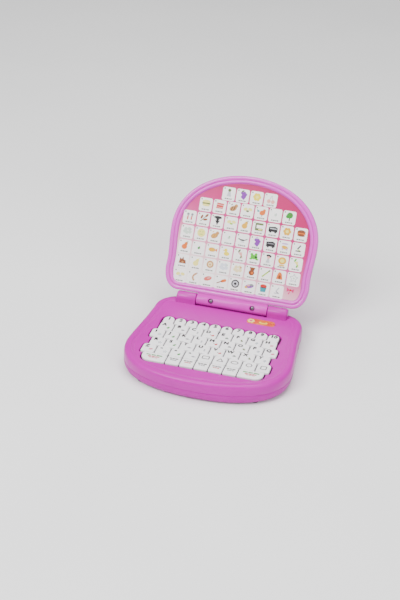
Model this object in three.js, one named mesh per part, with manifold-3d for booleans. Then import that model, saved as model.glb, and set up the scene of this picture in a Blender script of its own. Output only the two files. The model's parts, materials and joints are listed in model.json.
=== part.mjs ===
// Toy laptop computer: an arched clamshell with a sound keyboard in its base and a picture card
// in its lid.
// Millimetres, +Z up, +X to the user's right, -Y towards the user. The lid stands open at LID_TILT.
import * as THREE from 'three';
import { mergeVertices } from 'three/addons/utils/BufferGeometryUtils.js';
import Module from 'manifold-3d';

const wasm = await Module();
wasm.setup();

// ---------- driving dimensions ----------
// Heights above the table.
const FOOT_HEIGHT = 2;
const CASE_FLOOR_TOP = 4.2;
const CASE_SPLIT = 15;
const SPLIT_GAP = 0.15;
const WELL_FLOOR_BOTTOM = 23.5;
const WELL_FLOOR_TOP = 25.3;
const SKIN_BOTTOM = 26.3;
const PANEL_TOP = 28.6;
const RIM_TOP = 30;
const KEY_TOP = 30;
const WALL = 2.2;
const CURVE_STEPS = 7;

// Base outline, as half widths and depths from the middle of the third letter row.
const BASE_FRONT = -104;
const BASE_BACK = 109.5;
const BASE_HALF_WIDTH = 116.3;
const BASE_WIDEST_Y = -26;
const BASE_BACK_HALF_WIDTH = 107;
const BASE_CORNER = 34;
const PANEL_INSET = 11;

// Open trough at the back that the lid's barrel turns in: how far in front of the axis it reaches.
const TROUGH_REACH = 8.4;
const TROUGH_FLOOR = 26.2;
const TROUGH_PAN_BOTTOM = 24.2;

// Screw posts: deck boss, its bore, case post, its head recess and its clearance hole.
const BOSS_RADIUS = 3.8;
const BOSS_BOTTOM = 12.4;
const BOSS_BORE = 1.5;
const CASE_POST_RADIUS = 4.6;
const HEAD_RECESS_RADIUS = 3.3;
const HEAD_SEAT = 8.2;
const CLEARANCE_RADIUS = 1.8;

// Rubber feet in their seats, and the sticker beside the hinge.
const FOOT_SEAT_RADIUS = 6.3;
const LABEL = { x: 48.5, y: 75, width: 40, depth: 14, corner: 5, gap: 0.05, thickness: 0.3 };

// Keys.
const ROW_PITCH = 20.3;
const KEY_DEPTH = 19.2;
const KEY_GAP = 1.6;
const KEY_CORNER = 3.2;
const KEY_TRAVEL = 1.3;
const KEY_UNDERSIDE = WELL_FLOOR_TOP + KEY_TRAVEL + 0.2;
const WELL_MARGIN = 1.9;
const STEM = { radius: 2.1, bottom: 22.8, collarRadius: 3.4, collarBottom: 22.7, collarTop: 23.3 };
const MAT_BOTTOM = 25.4;
const MAT_TOP = 26.2;
const LETTER_ROWS = [
  { count: 8, pitch: 21.05, y: ROW_PITCH },
  { count: 9, pitch: 20, y: 0 },
  { count: 8, pitch: 21.05, y: -ROW_PITCH },
  { count: 9, pitch: 20, y: -2 * ROW_PITCH },
];
const NUMBER_ROW = { count: 10, pitch: 16.7, y: 38.6, depth: 16.2 };
const PAN = { width: 188, depth: 124, y: -11, corner: 12 };
const FUNCTION_ROW = { pitch: 19.8, y: -61, depth: 18.4, narrow: 5, half: 84 };

// Circuit board and what sits on it.
const BOARD_BOTTOM = 18.9;
const BOARD_TOP = 20.3;
const BOARD = { half: 84, front: -70, back: 45.5 };
const CHIP = { x: 60, y: 25, drop: 2.1 };

// Batteries: three AA cells side by side, lying along X.
const CELL = { radius: 7.1, length: 49.2, nub: 1.3, pitch: 15, y: 69.5, z: 11.5 };
const BAY = { half: 31, front: 46.5, back: 92.5, wall: 1.6, top: 18.6 };
const DOOR = { half: 31, tongue: 1.9, gap: 0.3, top: 4, step: 3.2, short: 6.5 };
const GRIPS = { half: 9, first: 95, pitch: 2.6, width: 1.2, count: 3 };
const SPRING = { turns: 3, wide: 4.6, narrow: 2.8, length: 4.2 };

// Speaker, facing down behind a grille in the case floor.
const SPEAKER = {
  x: -72, y: 66, radius: 18, z: 4.5, magnet: 8.2, grille: { pitch: 5, reach: 14, slot: 2 },
};

// Hinge and lid. Lid pieces are drawn flat: X across, Y up the lid from the hinge axis, Z out of
// its front.
const AXIS_Y = 99;
const AXIS_Z = 34.3;
const LID_TILT = 30;
const BARREL_RADIUS = 7.5;
const BARREL_HALF = 51.6;
const KNUCKLE_RADIUS = 8.2;
const KNUCKLE_IN = 52.6;
const KNUCKLE_OUT = 81;
const PIN_RADIUS = 2;
const BORE_RADIUS = 2.25;
const PIN_IN = 38;
const PIN_OUT = 78.6;
const HINGE_SCREW_X = 30.3;
const LID_BOTTOM = 8.8;
const LID_TOP = 184;
const LID_HALF_WIDTH = 106.6;
const LID_WIDEST = 98;
const LID_FRONT = 4;
const LID_BACK = -9;
const LID_RIM = 10.8;
const LID_PLATE_TOP = 0.3;
const LID_PLATE_BOTTOM = -1.6;
const CARD_THICKNESS = 0.4;

// Fasteners. A screw's rise is how far its head stands off the face it is driven into.
const CASE_SCREW = { head: 2.9, headHeight: 1.6, shank: 1.3, length: 11, rise: 1.7 };
const LID_SCREW = { head: 2.8, headHeight: 1.1, shank: 1.1, length: 6, rise: 1.3 };
const HINGE_SCREW = { head: 3.1, headHeight: 1.6, shank: 1.1, length: 10, rise: 1.9 };
const LID_HEAD_SEAT = -7.2;
const HINGE_HEAD_SEAT = 4.6;
const HINGE_SINK_RADIUS = 3.7;
const CASE_SCREWS = [[-98, 62], [98, 62], [-106, -32], [106, -32], [-58, -89], [58, -89]];
const LID_SCREWS = [[-88, 26], [88, 26], [-74, 146], [74, 146]];
const FEET = [[-84, 84], [84, 84], [-78, -76], [78, -76]];

// ---------- materials ----------
const finishes = {
  deck_pink: { color: 0xf653d4, roughness: 0.38 },
  case_pink: { color: 0xe94cc4, roughness: 0.45 },
  lid_pink: { color: 0xf7b0f2, roughness: 0.35 },
  lid_back_pink: { color: 0xf29bea, roughness: 0.4 },
  key_white: { color: 0xf6f4f6, roughness: 0.5 },
  card_print: { color: 0xf79ac4, roughness: 0.3 },
  label_orange: { color: 0xf79a3c, roughness: 0.4 },
  dome_silicone: { color: 0xcfd4d6, roughness: 0.7 },
  board_green: { color: 0x2f7a3c, roughness: 0.6 },
  epoxy_black: { color: 0x16161a, roughness: 0.35 },
  speaker_black: { color: 0x24242a, roughness: 0.6 },
  magnet_steel: { color: 0x9a9ca2, roughness: 0.35, metalness: 0.9 },
  cone_paper: { color: 0x2c2a28, roughness: 0.9 },
  cell_blue: { color: 0x2b5fb8, roughness: 0.35, metalness: 0.3 },
  spring_steel: { color: 0xc4c6cc, roughness: 0.3, metalness: 1 },
  screw_steel: { color: 0xb4b0b8, roughness: 0.3, metalness: 1 },
  foot_rubber: { color: 0x3a3a40, roughness: 0.9 },
};

// ---------- outlines ----------
function mirrored(half) {
  const left = half.filter((p) => Math.abs(p.x) > 1e-6).map((p) => new THREE.Vector2(-p.x, p.y));
  return [...half, ...left.reverse()];
}

// Half of the base outline, from the middle of the front round the right side to the middle of the back.
function baseOutline() {
  const path = new THREE.Path();
  const cornerX = BASE_BACK_HALF_WIDTH - BASE_CORNER;
  const cornerY = BASE_BACK - BASE_CORNER;
  path.moveTo(0, BASE_FRONT);
  path.bezierCurveTo(70, BASE_FRONT, BASE_HALF_WIDTH, -79, BASE_HALF_WIDTH, BASE_WIDEST_Y);
  path.bezierCurveTo(BASE_HALF_WIDTH, -8, BASE_BACK_HALF_WIDTH + 0.8, 40, BASE_BACK_HALF_WIDTH, cornerY);
  path.absarc(cornerX, cornerY, BASE_CORNER, 0, Math.PI / 2, false);
  path.lineTo(0, BASE_BACK);
  return mirrored(sampled(path, CURVE_STEPS));
}

// Half of the lid outline, from the middle of its hinge edge round the right side to the top of the arch.
function lidOutline() {
  const path = new THREE.Path();
  const arch = LID_TOP - LID_WIDEST;
  path.moveTo(0, LID_BOTTOM);
  path.lineTo(82, LID_BOTTOM);
  path.bezierCurveTo(96, LID_BOTTOM, 104.6, 20, 104.8, 40);
  path.bezierCurveTo(102.8, 62, LID_HALF_WIDTH, 72, LID_HALF_WIDTH, LID_WIDEST);
  path.bezierCurveTo(
    LID_HALF_WIDTH, LID_WIDEST + 0.6 * arch, 0.56 * LID_HALF_WIDTH, LID_TOP, 0, LID_TOP);
  return mirrored(sampled(path, CURVE_STEPS));
}

// Points along a path: each curve in equal steps, each straight stretch by its ends.
function sampled(path, steps) {
  const points = [];
  for (const curve of path.curves) {
    const own = curve.getPoints(curve.isLineCurve ? 1 : steps);
    points.push(...(points.length ? own.slice(1) : own));
  }
  return points;
}

// The outline moved inwards by a distance, for an outline that runs anticlockwise.
function inset(points, distance) {
  const count = points.length;
  return points.map((point, i) => {
    const before = points[(i + count - 1) % count];
    const after = points[(i + 1) % count];
    const into = point.clone().sub(before).normalize();
    const out = after.clone().sub(point).normalize();
    const tangent = into.add(out).normalize();
    return new THREE.Vector2(point.x - tangent.y * distance, point.y + tangent.x * distance);
  });
}

function roundedRect(x, y, width, depth, radius, steps = 2) {
  const corners = [[1, -1, -90], [1, 1, 0], [-1, 1, 90], [-1, -1, 180]];
  const points = [];
  for (const [sx, sy, start] of corners) {
    for (let i = 0; i <= steps; i += 1) {
      const angle = THREE.MathUtils.degToRad(start + (90 * i) / steps);
      const cx = x + sx * (width / 2 - radius);
      const cy = y + sy * (depth / 2 - radius);
      points.push(new THREE.Vector2(cx + radius * Math.cos(angle), cy + radius * Math.sin(angle)));
    }
  }
  return points;
}

// A key with a half-round far side, as the number keys have.
function tombstone(x, y, width, depth, steps = 6) {
  const radius = width / 2;
  const near = y - depth / 2;
  const points = [new THREE.Vector2(x - radius, near), new THREE.Vector2(x + radius, near)];
  for (let i = 0; i <= steps; i += 1) {
    const angle = (Math.PI * i) / steps;
    const far = y + depth / 2 - radius;
    points.push(new THREE.Vector2(x + radius * Math.cos(angle), far + radius * Math.sin(angle)));
  }
  return points;
}

// A wide key with one large near corner, on the side given by sign.
function endKey(inner, outer, y, depth, sign, radius = 11) {
  const near = y - depth / 2;
  const far = y + depth / 2;
  const points = [new THREE.Vector2(sign * inner, near)];
  for (let i = 0; i <= 4; i += 1) {
    const angle = (-Math.PI / 2) * (1 - i / 4);
    const px = outer - radius + radius * Math.cos(angle);
    points.push(new THREE.Vector2(sign * px, near + radius + radius * Math.sin(angle)));
  }
  points.push(new THREE.Vector2(sign * outer, far - 2));
  points.push(new THREE.Vector2(sign * (outer - 2), far));
  points.push(new THREE.Vector2(sign * inner, far));
  return sign > 0 ? points : points.reverse();
}

// ---------- solids ----------
function prism(points, low, high) {
  const settings = { depth: high - low, bevelEnabled: false };
  return new THREE.ExtrudeGeometry(new THREE.Shape(points), settings).translate(0, 0, low);
}

function block(x0, x1, y0, y1, z0, z1) {
  const geometry = new THREE.BoxGeometry(x1 - x0, y1 - y0, z1 - z0);
  return geometry.translate((x0 + x1) / 2, (y0 + y1) / 2, (z0 + z1) / 2);
}

// The two ends of a span that reaches equally far either side of a middle.
function around(middle, reach) {
  return [middle - reach, middle + reach];
}

function post(x, y, radius, low, high, sides = 12) {
  const geometry = new THREE.CylinderGeometry(radius, radius, high - low, sides);
  return geometry.rotateX(Math.PI / 2).translate(x, y, (low + high) / 2);
}

function rod(x0, x1, y, z, radius, sides = 16) {
  const geometry = new THREE.CylinderGeometry(radius, radius, x1 - x0, sides);
  return geometry.rotateZ(Math.PI / 2).translate((x0 + x1) / 2, y, z);
}

// A body through outlines that share a point count, given from the lowest to the highest.
function loft(sections) {
  const count = sections[0].points.length;
  const positions = sections.flatMap(({ points, z }) => points.flatMap((p) => [p.x, p.y, z]));
  const index = [];
  for (let level = 0; level < sections.length - 1; level += 1) {
    for (let i = 0; i < count; i += 1) {
      const a = level * count + i;
      const b = level * count + ((i + 1) % count);
      index.push(a, b, b + count, a, b + count, a + count);
    }
  }
  const last = (sections.length - 1) * count;
  for (const [a, b, c] of THREE.ShapeUtils.triangulateShape(sections[0].points, [])) {
    index.push(a, c, b);
  }
  for (const [a, b, c] of THREE.ShapeUtils.triangulateShape(sections.at(-1).points, [])) {
    index.push(last + a, last + b, last + c);
  }
  const geometry = new THREE.BufferGeometry();
  geometry.setAttribute('position', new THREE.Float32BufferAttribute(positions, 3));
  geometry.setIndex(index);
  return geometry;
}

function lathe(profile, sides = 16) {
  const points = profile.map(([r, z]) => new THREE.Vector2(r, z));
  return new THREE.LatheGeometry(points, sides).rotateX(Math.PI / 2);
}

function toSolid(geometry) {
  const bare = geometry.clone();
  bare.deleteAttribute('normal');
  bare.deleteAttribute('uv');
  const merged = mergeVertices(bare, 1e-4);
  const vertProperties = new Float32Array(merged.attributes.position.array);
  const triVerts = new Uint32Array(merged.index.array);
  return new wasm.Manifold(new wasm.Mesh({ numProp: 3, vertProperties, triVerts }));
}

function toGeometry(solid) {
  const mesh = solid.getMesh();
  const geometry = new THREE.BufferGeometry();
  geometry.setAttribute('position', new THREE.Float32BufferAttribute(mesh.vertProperties, 3));
  geometry.setIndex([...mesh.triVerts]);
  return geometry;
}

function joined(geometries) {
  return geometries.map(toSolid).reduce((sum, next) => sum.add(next));
}

// Geometries joined, less other geometries.
function carved(keep, cut) {
  return toGeometry(joined(keep).subtract(joined(cut)));
}

// ---------- scene graph ----------
const laptop = new THREE.Group();
const lid = new THREE.Group();
laptop.add(lid);
lid.position.set(0, AXIS_Y, AXIS_Z);
lid.rotation.x = THREE.MathUtils.degToRad(90 - LID_TILT);

function place(parent, name, geometry, finish) {
  const flat = geometry.index ? geometry.toNonIndexed() : geometry;
  flat.computeVertexNormals();
  const mesh = new THREE.Mesh(flat, new THREE.MeshStandardMaterial(finishes[finish]));
  mesh.name = name;
  parent.add(mesh);
  return mesh;
}

// ---------- key layout ----------
function rowKeys({ count, pitch, y }) {
  return Array.from({ length: count }, (_, i) => ({
    x: (i - (count - 1) / 2) * pitch, y, width: pitch - KEY_GAP,
  }));
}

const letterKeys = LETTER_ROWS.flatMap(rowKeys);
const numberKeys = rowKeys(NUMBER_ROW);

function functionKeys() {
  const { pitch, y, depth, narrow, half } = FUNCTION_ROW;
  const inner = (narrow * pitch) / 2 + KEY_GAP / 2;
  const middle = rowKeys({ count: narrow, pitch, y }).map((key) => ({
    ...key, outline: roundedRect(key.x, y, key.width, depth, 2),
  }));
  const ends = [-1, 1].map((sign) => ({
    x: (sign * (inner + half)) / 2, y, outline: endKey(inner, half, y, depth, sign),
  }));
  return [ends[0], ...middle, ends[1]];
}

// All function keys together: the two end keys' outer outlines, closed across the middle.
function functionRowOutline() {
  const { y, depth, half } = FUNCTION_ROW;
  const right = endKey(0, half, y, depth, 1);
  return mirrored(right.slice(1)).filter((p) => Math.abs(p.x) > 1e-6);
}

function letterOutline(key) {
  return roundedRect(key.x, key.y, key.width, KEY_DEPTH, KEY_CORNER);
}

function numberOutline(key, grow = 0) {
  return tombstone(key.x, key.y, key.width + 2 * grow, NUMBER_ROW.depth + 2 * grow);
}

// The well follows the outer keys of every row at an even margin.
function wellFootprint(margin, low, high) {
  const rows = LETTER_ROWS.map(({ count, pitch, y }) => {
    const width = count * pitch - KEY_GAP + 2 * margin;
    return roundedRect(0, y, width, KEY_DEPTH + 2 * margin, KEY_CORNER + margin);
  });
  const outlines = [
    ...rows,
    ...numberKeys.map((key) => numberOutline(key, margin)),
    inset(functionRowOutline(), -margin),
  ];
  return joined(outlines.map((outline) => prism(outline, low, high)));
}

// ---------- base ----------
function deckGeometry() {
  const outline = baseOutline();
  const shell = loft([
    { points: outline, z: CASE_SPLIT + SPLIT_GAP },
    { points: outline, z: RIM_TOP - 3 },
    { points: inset(outline, 0.9), z: RIM_TOP - 0.9 },
    { points: inset(outline, 3), z: RIM_TOP },
  ]);
  const cavity = prism(inset(outline, WALL), CASE_SPLIT, SKIN_BOTTOM);
  const recess = loft([
    { points: inset(outline, PANEL_INSET + 2), z: PANEL_TOP },
    { points: inset(outline, PANEL_INSET), z: RIM_TOP + 0.1 },
  ]);
  const bosses = CASE_SCREWS.map(([x, y]) => post(x, y, BOSS_RADIUS, BOSS_BOTTOM, SKIN_BOTTOM + 1));
  const bossBores = CASE_SCREWS.map(([x, y]) => (
    post(x, y, BOSS_BORE, BOSS_BOTTOM - 0.4, CASE_SPLIT + 5)));
  const knuckles = [-1, 1].flatMap((sign) => {
    const x0 = Math.min(sign * KNUCKLE_IN, sign * KNUCKLE_OUT);
    const x1 = Math.max(sign * KNUCKLE_IN, sign * KNUCKLE_OUT);
    return [
      rod(x0, x1, AXIS_Y, AXIS_Z, KNUCKLE_RADIUS),
      block(x0, x1, ...around(AXIS_Y, KNUCKLE_RADIUS), SKIN_BOTTOM + 1, AXIS_Z),
    ];
  });
  const bores = [-1, 1].map((sign) => {
    const x0 = Math.min(sign * (KNUCKLE_IN - 1), sign * (PIN_OUT + 0.3));
    const x1 = Math.max(sign * (KNUCKLE_IN - 1), sign * (PIN_OUT + 0.3));
    return rod(x0, x1, AXIS_Y, AXIS_Z, BORE_RADIUS, 12);
  });
  const troughFront = AXIS_Y - TROUGH_REACH;
  const troughPan = block(
    ...around(0, KNUCKLE_IN + 2), troughFront - 2, BASE_BACK - 1, TROUGH_PAN_BOTTOM, SKIN_BOTTOM + 1);
  const troughCut = block(...around(0, KNUCKLE_IN), troughFront, BASE_BACK + 5, TROUGH_FLOOR, 60);
  const guides = [...numberKeys, ...functionKeys()].map(({ x, y }) => (
    post(x, y, STEM.radius + 0.5, WELL_FLOOR_BOTTOM - 0.5, WELL_FLOOR_TOP + 0.7, 8)));
  const slots = LETTER_ROWS.map(({ y, count, pitch }) => {
    const half = ((count - 1) / 2) * pitch + 3;
    return block(-half, half, ...around(y, 3), WELL_FLOOR_BOTTOM - 1, WELL_FLOOR_TOP + 1);
  });
  const hollow = joined([shell]).subtract(joined([cavity])).subtract(joined([recess]));
  const panOutline = roundedRect(0, PAN.y, PAN.width, PAN.depth, PAN.corner);
  const pan = prism(panOutline, WELL_FLOOR_BOTTOM, SKIN_BOTTOM + 0.5);
  return toGeometry(hollow.add(joined([pan, troughPan, ...knuckles, ...bosses]))
    .subtract(wellFootprint(WELL_MARGIN, WELL_FLOOR_TOP, RIM_TOP + 1))
    .subtract(joined([troughCut, ...bores, ...guides, ...slots, ...bossBores])));
}

function bottomShellGeometry() {
  const outline = baseOutline();
  const shell = loft([
    { points: inset(outline, 6), z: FOOT_HEIGHT },
    { points: inset(outline, 2), z: FOOT_HEIGHT + 3 },
    { points: outline, z: FOOT_HEIGHT + 8 },
    { points: outline, z: CASE_SPLIT - SPLIT_GAP },
  ]);
  const cavity = loft([
    { points: inset(outline, 6 + WALL), z: CASE_FLOOR_TOP },
    { points: inset(outline, 2 + WALL), z: FOOT_HEIGHT + 5 },
    { points: inset(outline, WALL), z: FOOT_HEIGHT + 9 },
    { points: inset(outline, WALL), z: CASE_SPLIT },
  ]);
  const bay = block(
    ...around(0, BAY.half + BAY.wall), BAY.front - BAY.wall, BAY.back + BAY.wall, 3, BAY.top);
  const bayCut = block(...around(0, BAY.half), BAY.front, BAY.back, 0, BAY.top + 0.4);
  const doorWay = block(-DOOR.half, DOOR.half, BAY.front, BASE_BACK + 5, 0, CASE_FLOOR_TOP + 0.2);
  const grooveHalf = DOOR.half + DOOR.tongue + DOOR.gap;
  const groove = block(-grooveHalf, grooveHalf, BAY.front, BASE_BACK + 5, 2.9, CASE_FLOOR_TOP + 0.2);
  const railHalf = grooveHalf + 2;
  const rails = block(-railHalf, railHalf, BAY.front - 2, BASE_BACK - 7, 3, CASE_FLOOR_TOP + 2);
  const posts = CASE_SCREWS.map(([x, y]) => (
    post(x, y, CASE_POST_RADIUS, CASE_FLOOR_TOP - 1.2, BOSS_BOTTOM - 0.3)));
  const recesses = CASE_SCREWS.map(([x, y]) => post(x, y, HEAD_RECESS_RADIUS, 0, HEAD_SEAT));
  const clearances = CASE_SCREWS.map(([x, y]) => (
    post(x, y, CLEARANCE_RADIUS, HEAD_SEAT - 0.2, CASE_SPLIT)));
  const footSeats = FEET.map(([x, y]) => post(x, y, FOOT_SEAT_RADIUS, 0, FOOT_HEIGHT + 1));
  const { x, y, radius, grille } = SPEAKER;
  const ring = joined([post(x, y, radius + 2.2, 3, 8, 20)])
    .subtract(joined([post(x, y, radius + 0.5, CASE_FLOOR_TOP, 9, 20)]));
  const slots = [-2, -1, 0, 1, 2].map((row) => {
    const middle = y + grille.pitch * row;
    const half = Math.sqrt(grille.reach ** 2 - (grille.pitch * row) ** 2);
    return block(...around(x, half), ...around(middle, grille.slot / 2), 0, 6);
  });
  return toGeometry(joined([shell]).subtract(joined([cavity]))
    .add(joined([bay, rails, ...posts])).add(ring)
    .subtract(joined([bayCut, doorWay, groove, ...recesses, ...clearances]))
    .subtract(joined([...footSeats, ...slots])));
}

function batteryDoorGeometry() {
  const { half, tongue, gap } = DOOR;
  const front = BAY.front + gap;
  const back = BASE_BACK - DOOR.short;
  const plate = block(...around(0, half - gap), front, back, FOOT_HEIGHT, DOOR.top);
  const tongues = block(...around(0, half + tongue), front, back - 2, DOOR.step, DOOR.top);
  const grips = Array.from({ length: GRIPS.count }, (_, i) => {
    const near = GRIPS.first + GRIPS.pitch * i;
    return block(...around(0, GRIPS.half), near, near + GRIPS.width, 1, FOOT_HEIGHT + 0.6);
  });
  return carved([plate, tongues], grips);
}

function letterMatGeometry() {
  const sheet = LETTER_ROWS.map(({ count, pitch, y }) => {
    const width = count * pitch - KEY_GAP;
    return prism(roundedRect(0, y, width, ROW_PITCH + 0.02, KEY_CORNER), MAT_BOTTOM, MAT_TOP);
  });
  const caps = letterKeys.map((key) => prism(letterOutline(key), MAT_TOP - 0.2, KEY_TOP));
  const plungers = letterKeys.map(({ x, y }) => post(x, y, 2, 22, MAT_TOP - 0.3, 6));
  return toGeometry(joined([...sheet, ...caps, ...plungers]));
}

// A rigid key: cap, guide stem and the collar that keeps it in the well floor.
function rigidKeyGeometry(outline, x, y) {
  const shrunk = inset(outline, 0.7);
  const cap = loft([
    { points: outline, z: KEY_UNDERSIDE },
    { points: outline, z: KEY_TOP - 0.7 },
    { points: shrunk, z: KEY_TOP },
  ]);
  const stem = post(x, y, STEM.radius, STEM.bottom, KEY_UNDERSIDE + 0.5, 8);
  const collar = post(x, y, STEM.collarRadius, STEM.collarBottom, STEM.collarTop, 8);
  return toGeometry(joined([cap, stem, collar]));
}

function domeStripGeometry(keys, depth) {
  const xs = keys.map(({ x }) => x);
  const [x0, x1] = [Math.min(...xs) - 5, Math.max(...xs) + 5];
  const sheet = prism(roundedRect((x0 + x1) / 2, keys[0].y, x1 - x0, depth, 2), 20.4, 20.8);
  const domes = keys.map(({ x, y }) => post(x, y, 3, 20.7, 21.3, 6));
  return toGeometry(joined([sheet, ...domes]));
}

function circuitBoardGeometry() {
  const { half, front, back } = BOARD;
  const outline = roundedRect(0, (front + back) / 2, 2 * half, back - front, 6);
  return prism(outline, BOARD_BOTTOM, BOARD_TOP);
}

function cellGeometry() {
  const { radius, length, nub } = CELL;
  const edge = 0.8;
  const button = 2.7;
  const profile = [
    [0, 0], [radius - edge, 0], [radius, edge], [radius, length - edge], [radius - edge, length],
    [button, length], [button, length + nub], [0, length + nub],
  ];
  return lathe(profile, 12).rotateY(Math.PI / 2);
}

// The coil that presses on a cell's flat end: a tapering wire helix, flat against its plate.
class TaperedHelix extends THREE.Curve {
  getPoint(t, target = new THREE.Vector3()) {
    const turn = 2 * Math.PI * SPRING.turns * t;
    const radius = THREE.MathUtils.lerp(SPRING.wide, SPRING.narrow, t);
    return target.set(SPRING.length * t, radius * Math.cos(turn), radius * Math.sin(turn));
  }
}

function springGeometry() {
  const corners = [[-0.35, 0], [0, -0.35], [0.35, 0], [0, 0.35]];
  const wire = new THREE.Shape(corners.map(([x, y]) => new THREE.Vector2(x, y)));
  const settings = { steps: 24, extrudePath: new TaperedHelix(), bevelEnabled: false };
  return new THREE.ExtrudeGeometry(wire, settings);
}

// A screw with its head at height 0 and its point upwards.
function screwGeometry({ head, headHeight, shank, length }) {
  const profile = [
    [0, 0], [head, 0], [head, headHeight], [shank, headHeight],
    [shank, length - 1], [0.3, length], [0, length],
  ];
  return lathe(profile, 8);
}

function speakerFrameGeometry() {
  const { radius } = SPEAKER;
  return lathe([[radius - 2.4, 0], [radius, 0], [radius, 1.4], [radius - 1.2, 2], [9.6, 7], [9.6, 8],
    [7.4, 8], [7.4, 6.2], [radius - 3, 1.6], [radius - 2.4, 0]], 14);
}

function speakerConeGeometry() {
  const { radius } = SPEAKER;
  return lathe([[0, 4.8], [5, 5.1], [radius - 4, 0.9], [radius - 3, 0.3], [radius - 3, 0.7],
    [radius - 4, 1.4], [5, 5.6], [0, 5.4]], 14);
}

function labelGeometry() {
  const bottom = PANEL_TOP + LABEL.gap;
  const outline = roundedRect(LABEL.x, LABEL.y, LABEL.width, LABEL.depth, LABEL.corner);
  return prism(outline, bottom, bottom + LABEL.thickness);
}

function soundChipGeometry() {
  return lathe([[0, 0], [6, 0], [5.4, 0.9], [3.6, 1.6], [0, 2]], 14);
}

function speakerMagnetGeometry() {
  return lathe([[0, 0], [8.5, 0], [9.2, 0.7], [9.2, 5], [0, 5]], 14);
}

function footGeometry() {
  const radius = FOOT_SEAT_RADIUS - 0.3;
  return lathe([[0, 0], [radius - 0.6, 0], [radius, 0.6], [radius, 2.7], [0, 2.7]], 12);
}

// ---------- lid ----------
function lidFrontGeometry() {
  const outline = lidOutline();
  const rim = loft([
    { points: outline, z: SPLIT_GAP },
    { points: outline, z: LID_FRONT - 1.6 },
    { points: inset(outline, 1.5), z: LID_FRONT },
  ]);
  const plateEdge = inset(outline, WALL + 0.8);
  const plate = prism(plateEdge, LID_PLATE_BOTTOM, LID_PLATE_TOP + 1);
  const opening = loft([
    { points: inset(outline, LID_RIM + 1), z: LID_PLATE_TOP },
    { points: inset(outline, LID_RIM), z: LID_FRONT + 0.1 },
  ]);
  const hollowRing = joined([prism(inset(outline, WALL + 1.6), LID_PLATE_BOTTOM - 0.1, 2.2)])
    .subtract(joined([prism(inset(outline, LID_RIM - 1), LID_PLATE_BOTTOM - 1, 3)]));
  const barrel = rod(-BARREL_HALF, BARREL_HALF, 0, 0, BARREL_RADIUS);
  const web = block(-BARREL_HALF, BARREL_HALF, 0, LID_BOTTOM + 1.5, SPLIT_GAP, 2.4);
  const rearHalf = block(-60, 60, -10, 10, -10, SPLIT_GAP);
  const sinks = [-1, 1].map((sign) => (
    post(sign * HINGE_SCREW_X, 0, HINGE_SINK_RADIUS, HINGE_HEAD_SEAT, 9, 16)));
  const shanks = [-1, 1].map((sign) => post(sign * HINGE_SCREW_X, 0, 1.6, -1, 6));
  const bosses = LID_SCREWS.map(([x, y]) => post(x, y, 3.2, -5, LID_PLATE_BOTTOM + 0.5));
  const bossBores = LID_SCREWS.map(([x, y]) => post(x, y, 1.4, -6, LID_PLATE_BOTTOM - 0.6));
  return toGeometry(joined([rim, plate]).subtract(joined([opening])).subtract(hollowRing)
    .add(joined([barrel]).subtract(joined([rearHalf]))).add(joined([web, ...bosses]))
    .subtract(joined([boreThrough(), ...sinks, ...shanks, ...bossBores])));
}

// One pin bore through both ends of the barrel, wider in the middle where no screw passes.
function boreThrough() {
  return toGeometry(joined([
    rod(-BARREL_HALF - 1, -PIN_IN + 0.5, 0, 0, BORE_RADIUS, 12),
    rod(PIN_IN - 0.5, BARREL_HALF + 1, 0, 0, BORE_RADIUS, 12),
    rod(-24, 24, 0, 0, 5, 12),
  ]));
}

function lidBackGeometry() {
  const outline = lidOutline();
  const shell = loft([
    { points: inset(outline, 4.5), z: LID_BACK },
    { points: inset(outline, 1.5), z: LID_BACK + 1.4 },
    { points: outline, z: LID_BACK + 4 },
    { points: outline, z: -SPLIT_GAP },
  ]);
  const cavity = loft([
    { points: inset(outline, 5), z: LID_BACK + 2 },
    { points: inset(outline, WALL), z: LID_BACK + 5 },
    { points: inset(outline, WALL), z: 0 },
  ]);
  const barrel = rod(-BARREL_HALF, BARREL_HALF, 0, 0, BARREL_RADIUS);
  const frontHalf = block(-60, 60, -10, 10, -SPLIT_GAP, 10);
  const web = block(-BARREL_HALF, BARREL_HALF, 0, LID_BOTTOM + 1.5, -BARREL_RADIUS, -SPLIT_GAP);
  const screwBores = [-1, 1].map((sign) => post(sign * HINGE_SCREW_X, 0, 1.4, -5.5, 1));
  const pads = LID_SCREWS.map(([x, y]) => post(x, y, 4.6, LID_BACK + 1, -5.3));
  const recesses = LID_SCREWS.map(([x, y]) => post(x, y, 3.2, LID_BACK - 1, LID_HEAD_SEAT));
  const clearances = LID_SCREWS.map(([x, y]) => post(x, y, 1.7, -8, -5));
  return toGeometry(joined([shell]).subtract(joined([cavity]))
    .add(joined([barrel, web]).subtract(joined([frontHalf]))).add(joined(pads))
    .subtract(joined([boreThrough(), ...screwBores, ...recesses, ...clearances])));
}

function pictureCardGeometry() {
  const edge = inset(lidOutline(), LID_RIM + 1.4);
  return prism(edge, LID_PLATE_TOP + 0.1, LID_PLATE_TOP + 0.1 + CARD_THICKNESS);
}

// ---------- assembly ----------
place(laptop, 'base_bottom_shell', bottomShellGeometry(), 'case_pink');
place(laptop, 'keyboard_deck', deckGeometry(), 'deck_pink');
place(laptop, 'letter_key_mat', letterMatGeometry(), 'key_white');
numberKeys.forEach((key, i) => {
  place(laptop, `number_key_${i + 1}`, rigidKeyGeometry(numberOutline(key), key.x, key.y), 'key_white');
});
functionKeys().forEach(({ outline, x, y }, i) => {
  place(laptop, `function_key_${i + 1}`, rigidKeyGeometry(outline, x, y), 'key_white');
});
place(laptop, 'number_dome_strip', domeStripGeometry(numberKeys, 9), 'dome_silicone');
place(laptop, 'function_dome_strip', domeStripGeometry(functionKeys(), 9), 'dome_silicone');
place(laptop, 'circuit_board', circuitBoardGeometry(), 'board_green');
place(laptop, 'sound_chip', soundChipGeometry(), 'epoxy_black')
  .position.set(CHIP.x, CHIP.y, BOARD_BOTTOM - CHIP.drop);
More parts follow.
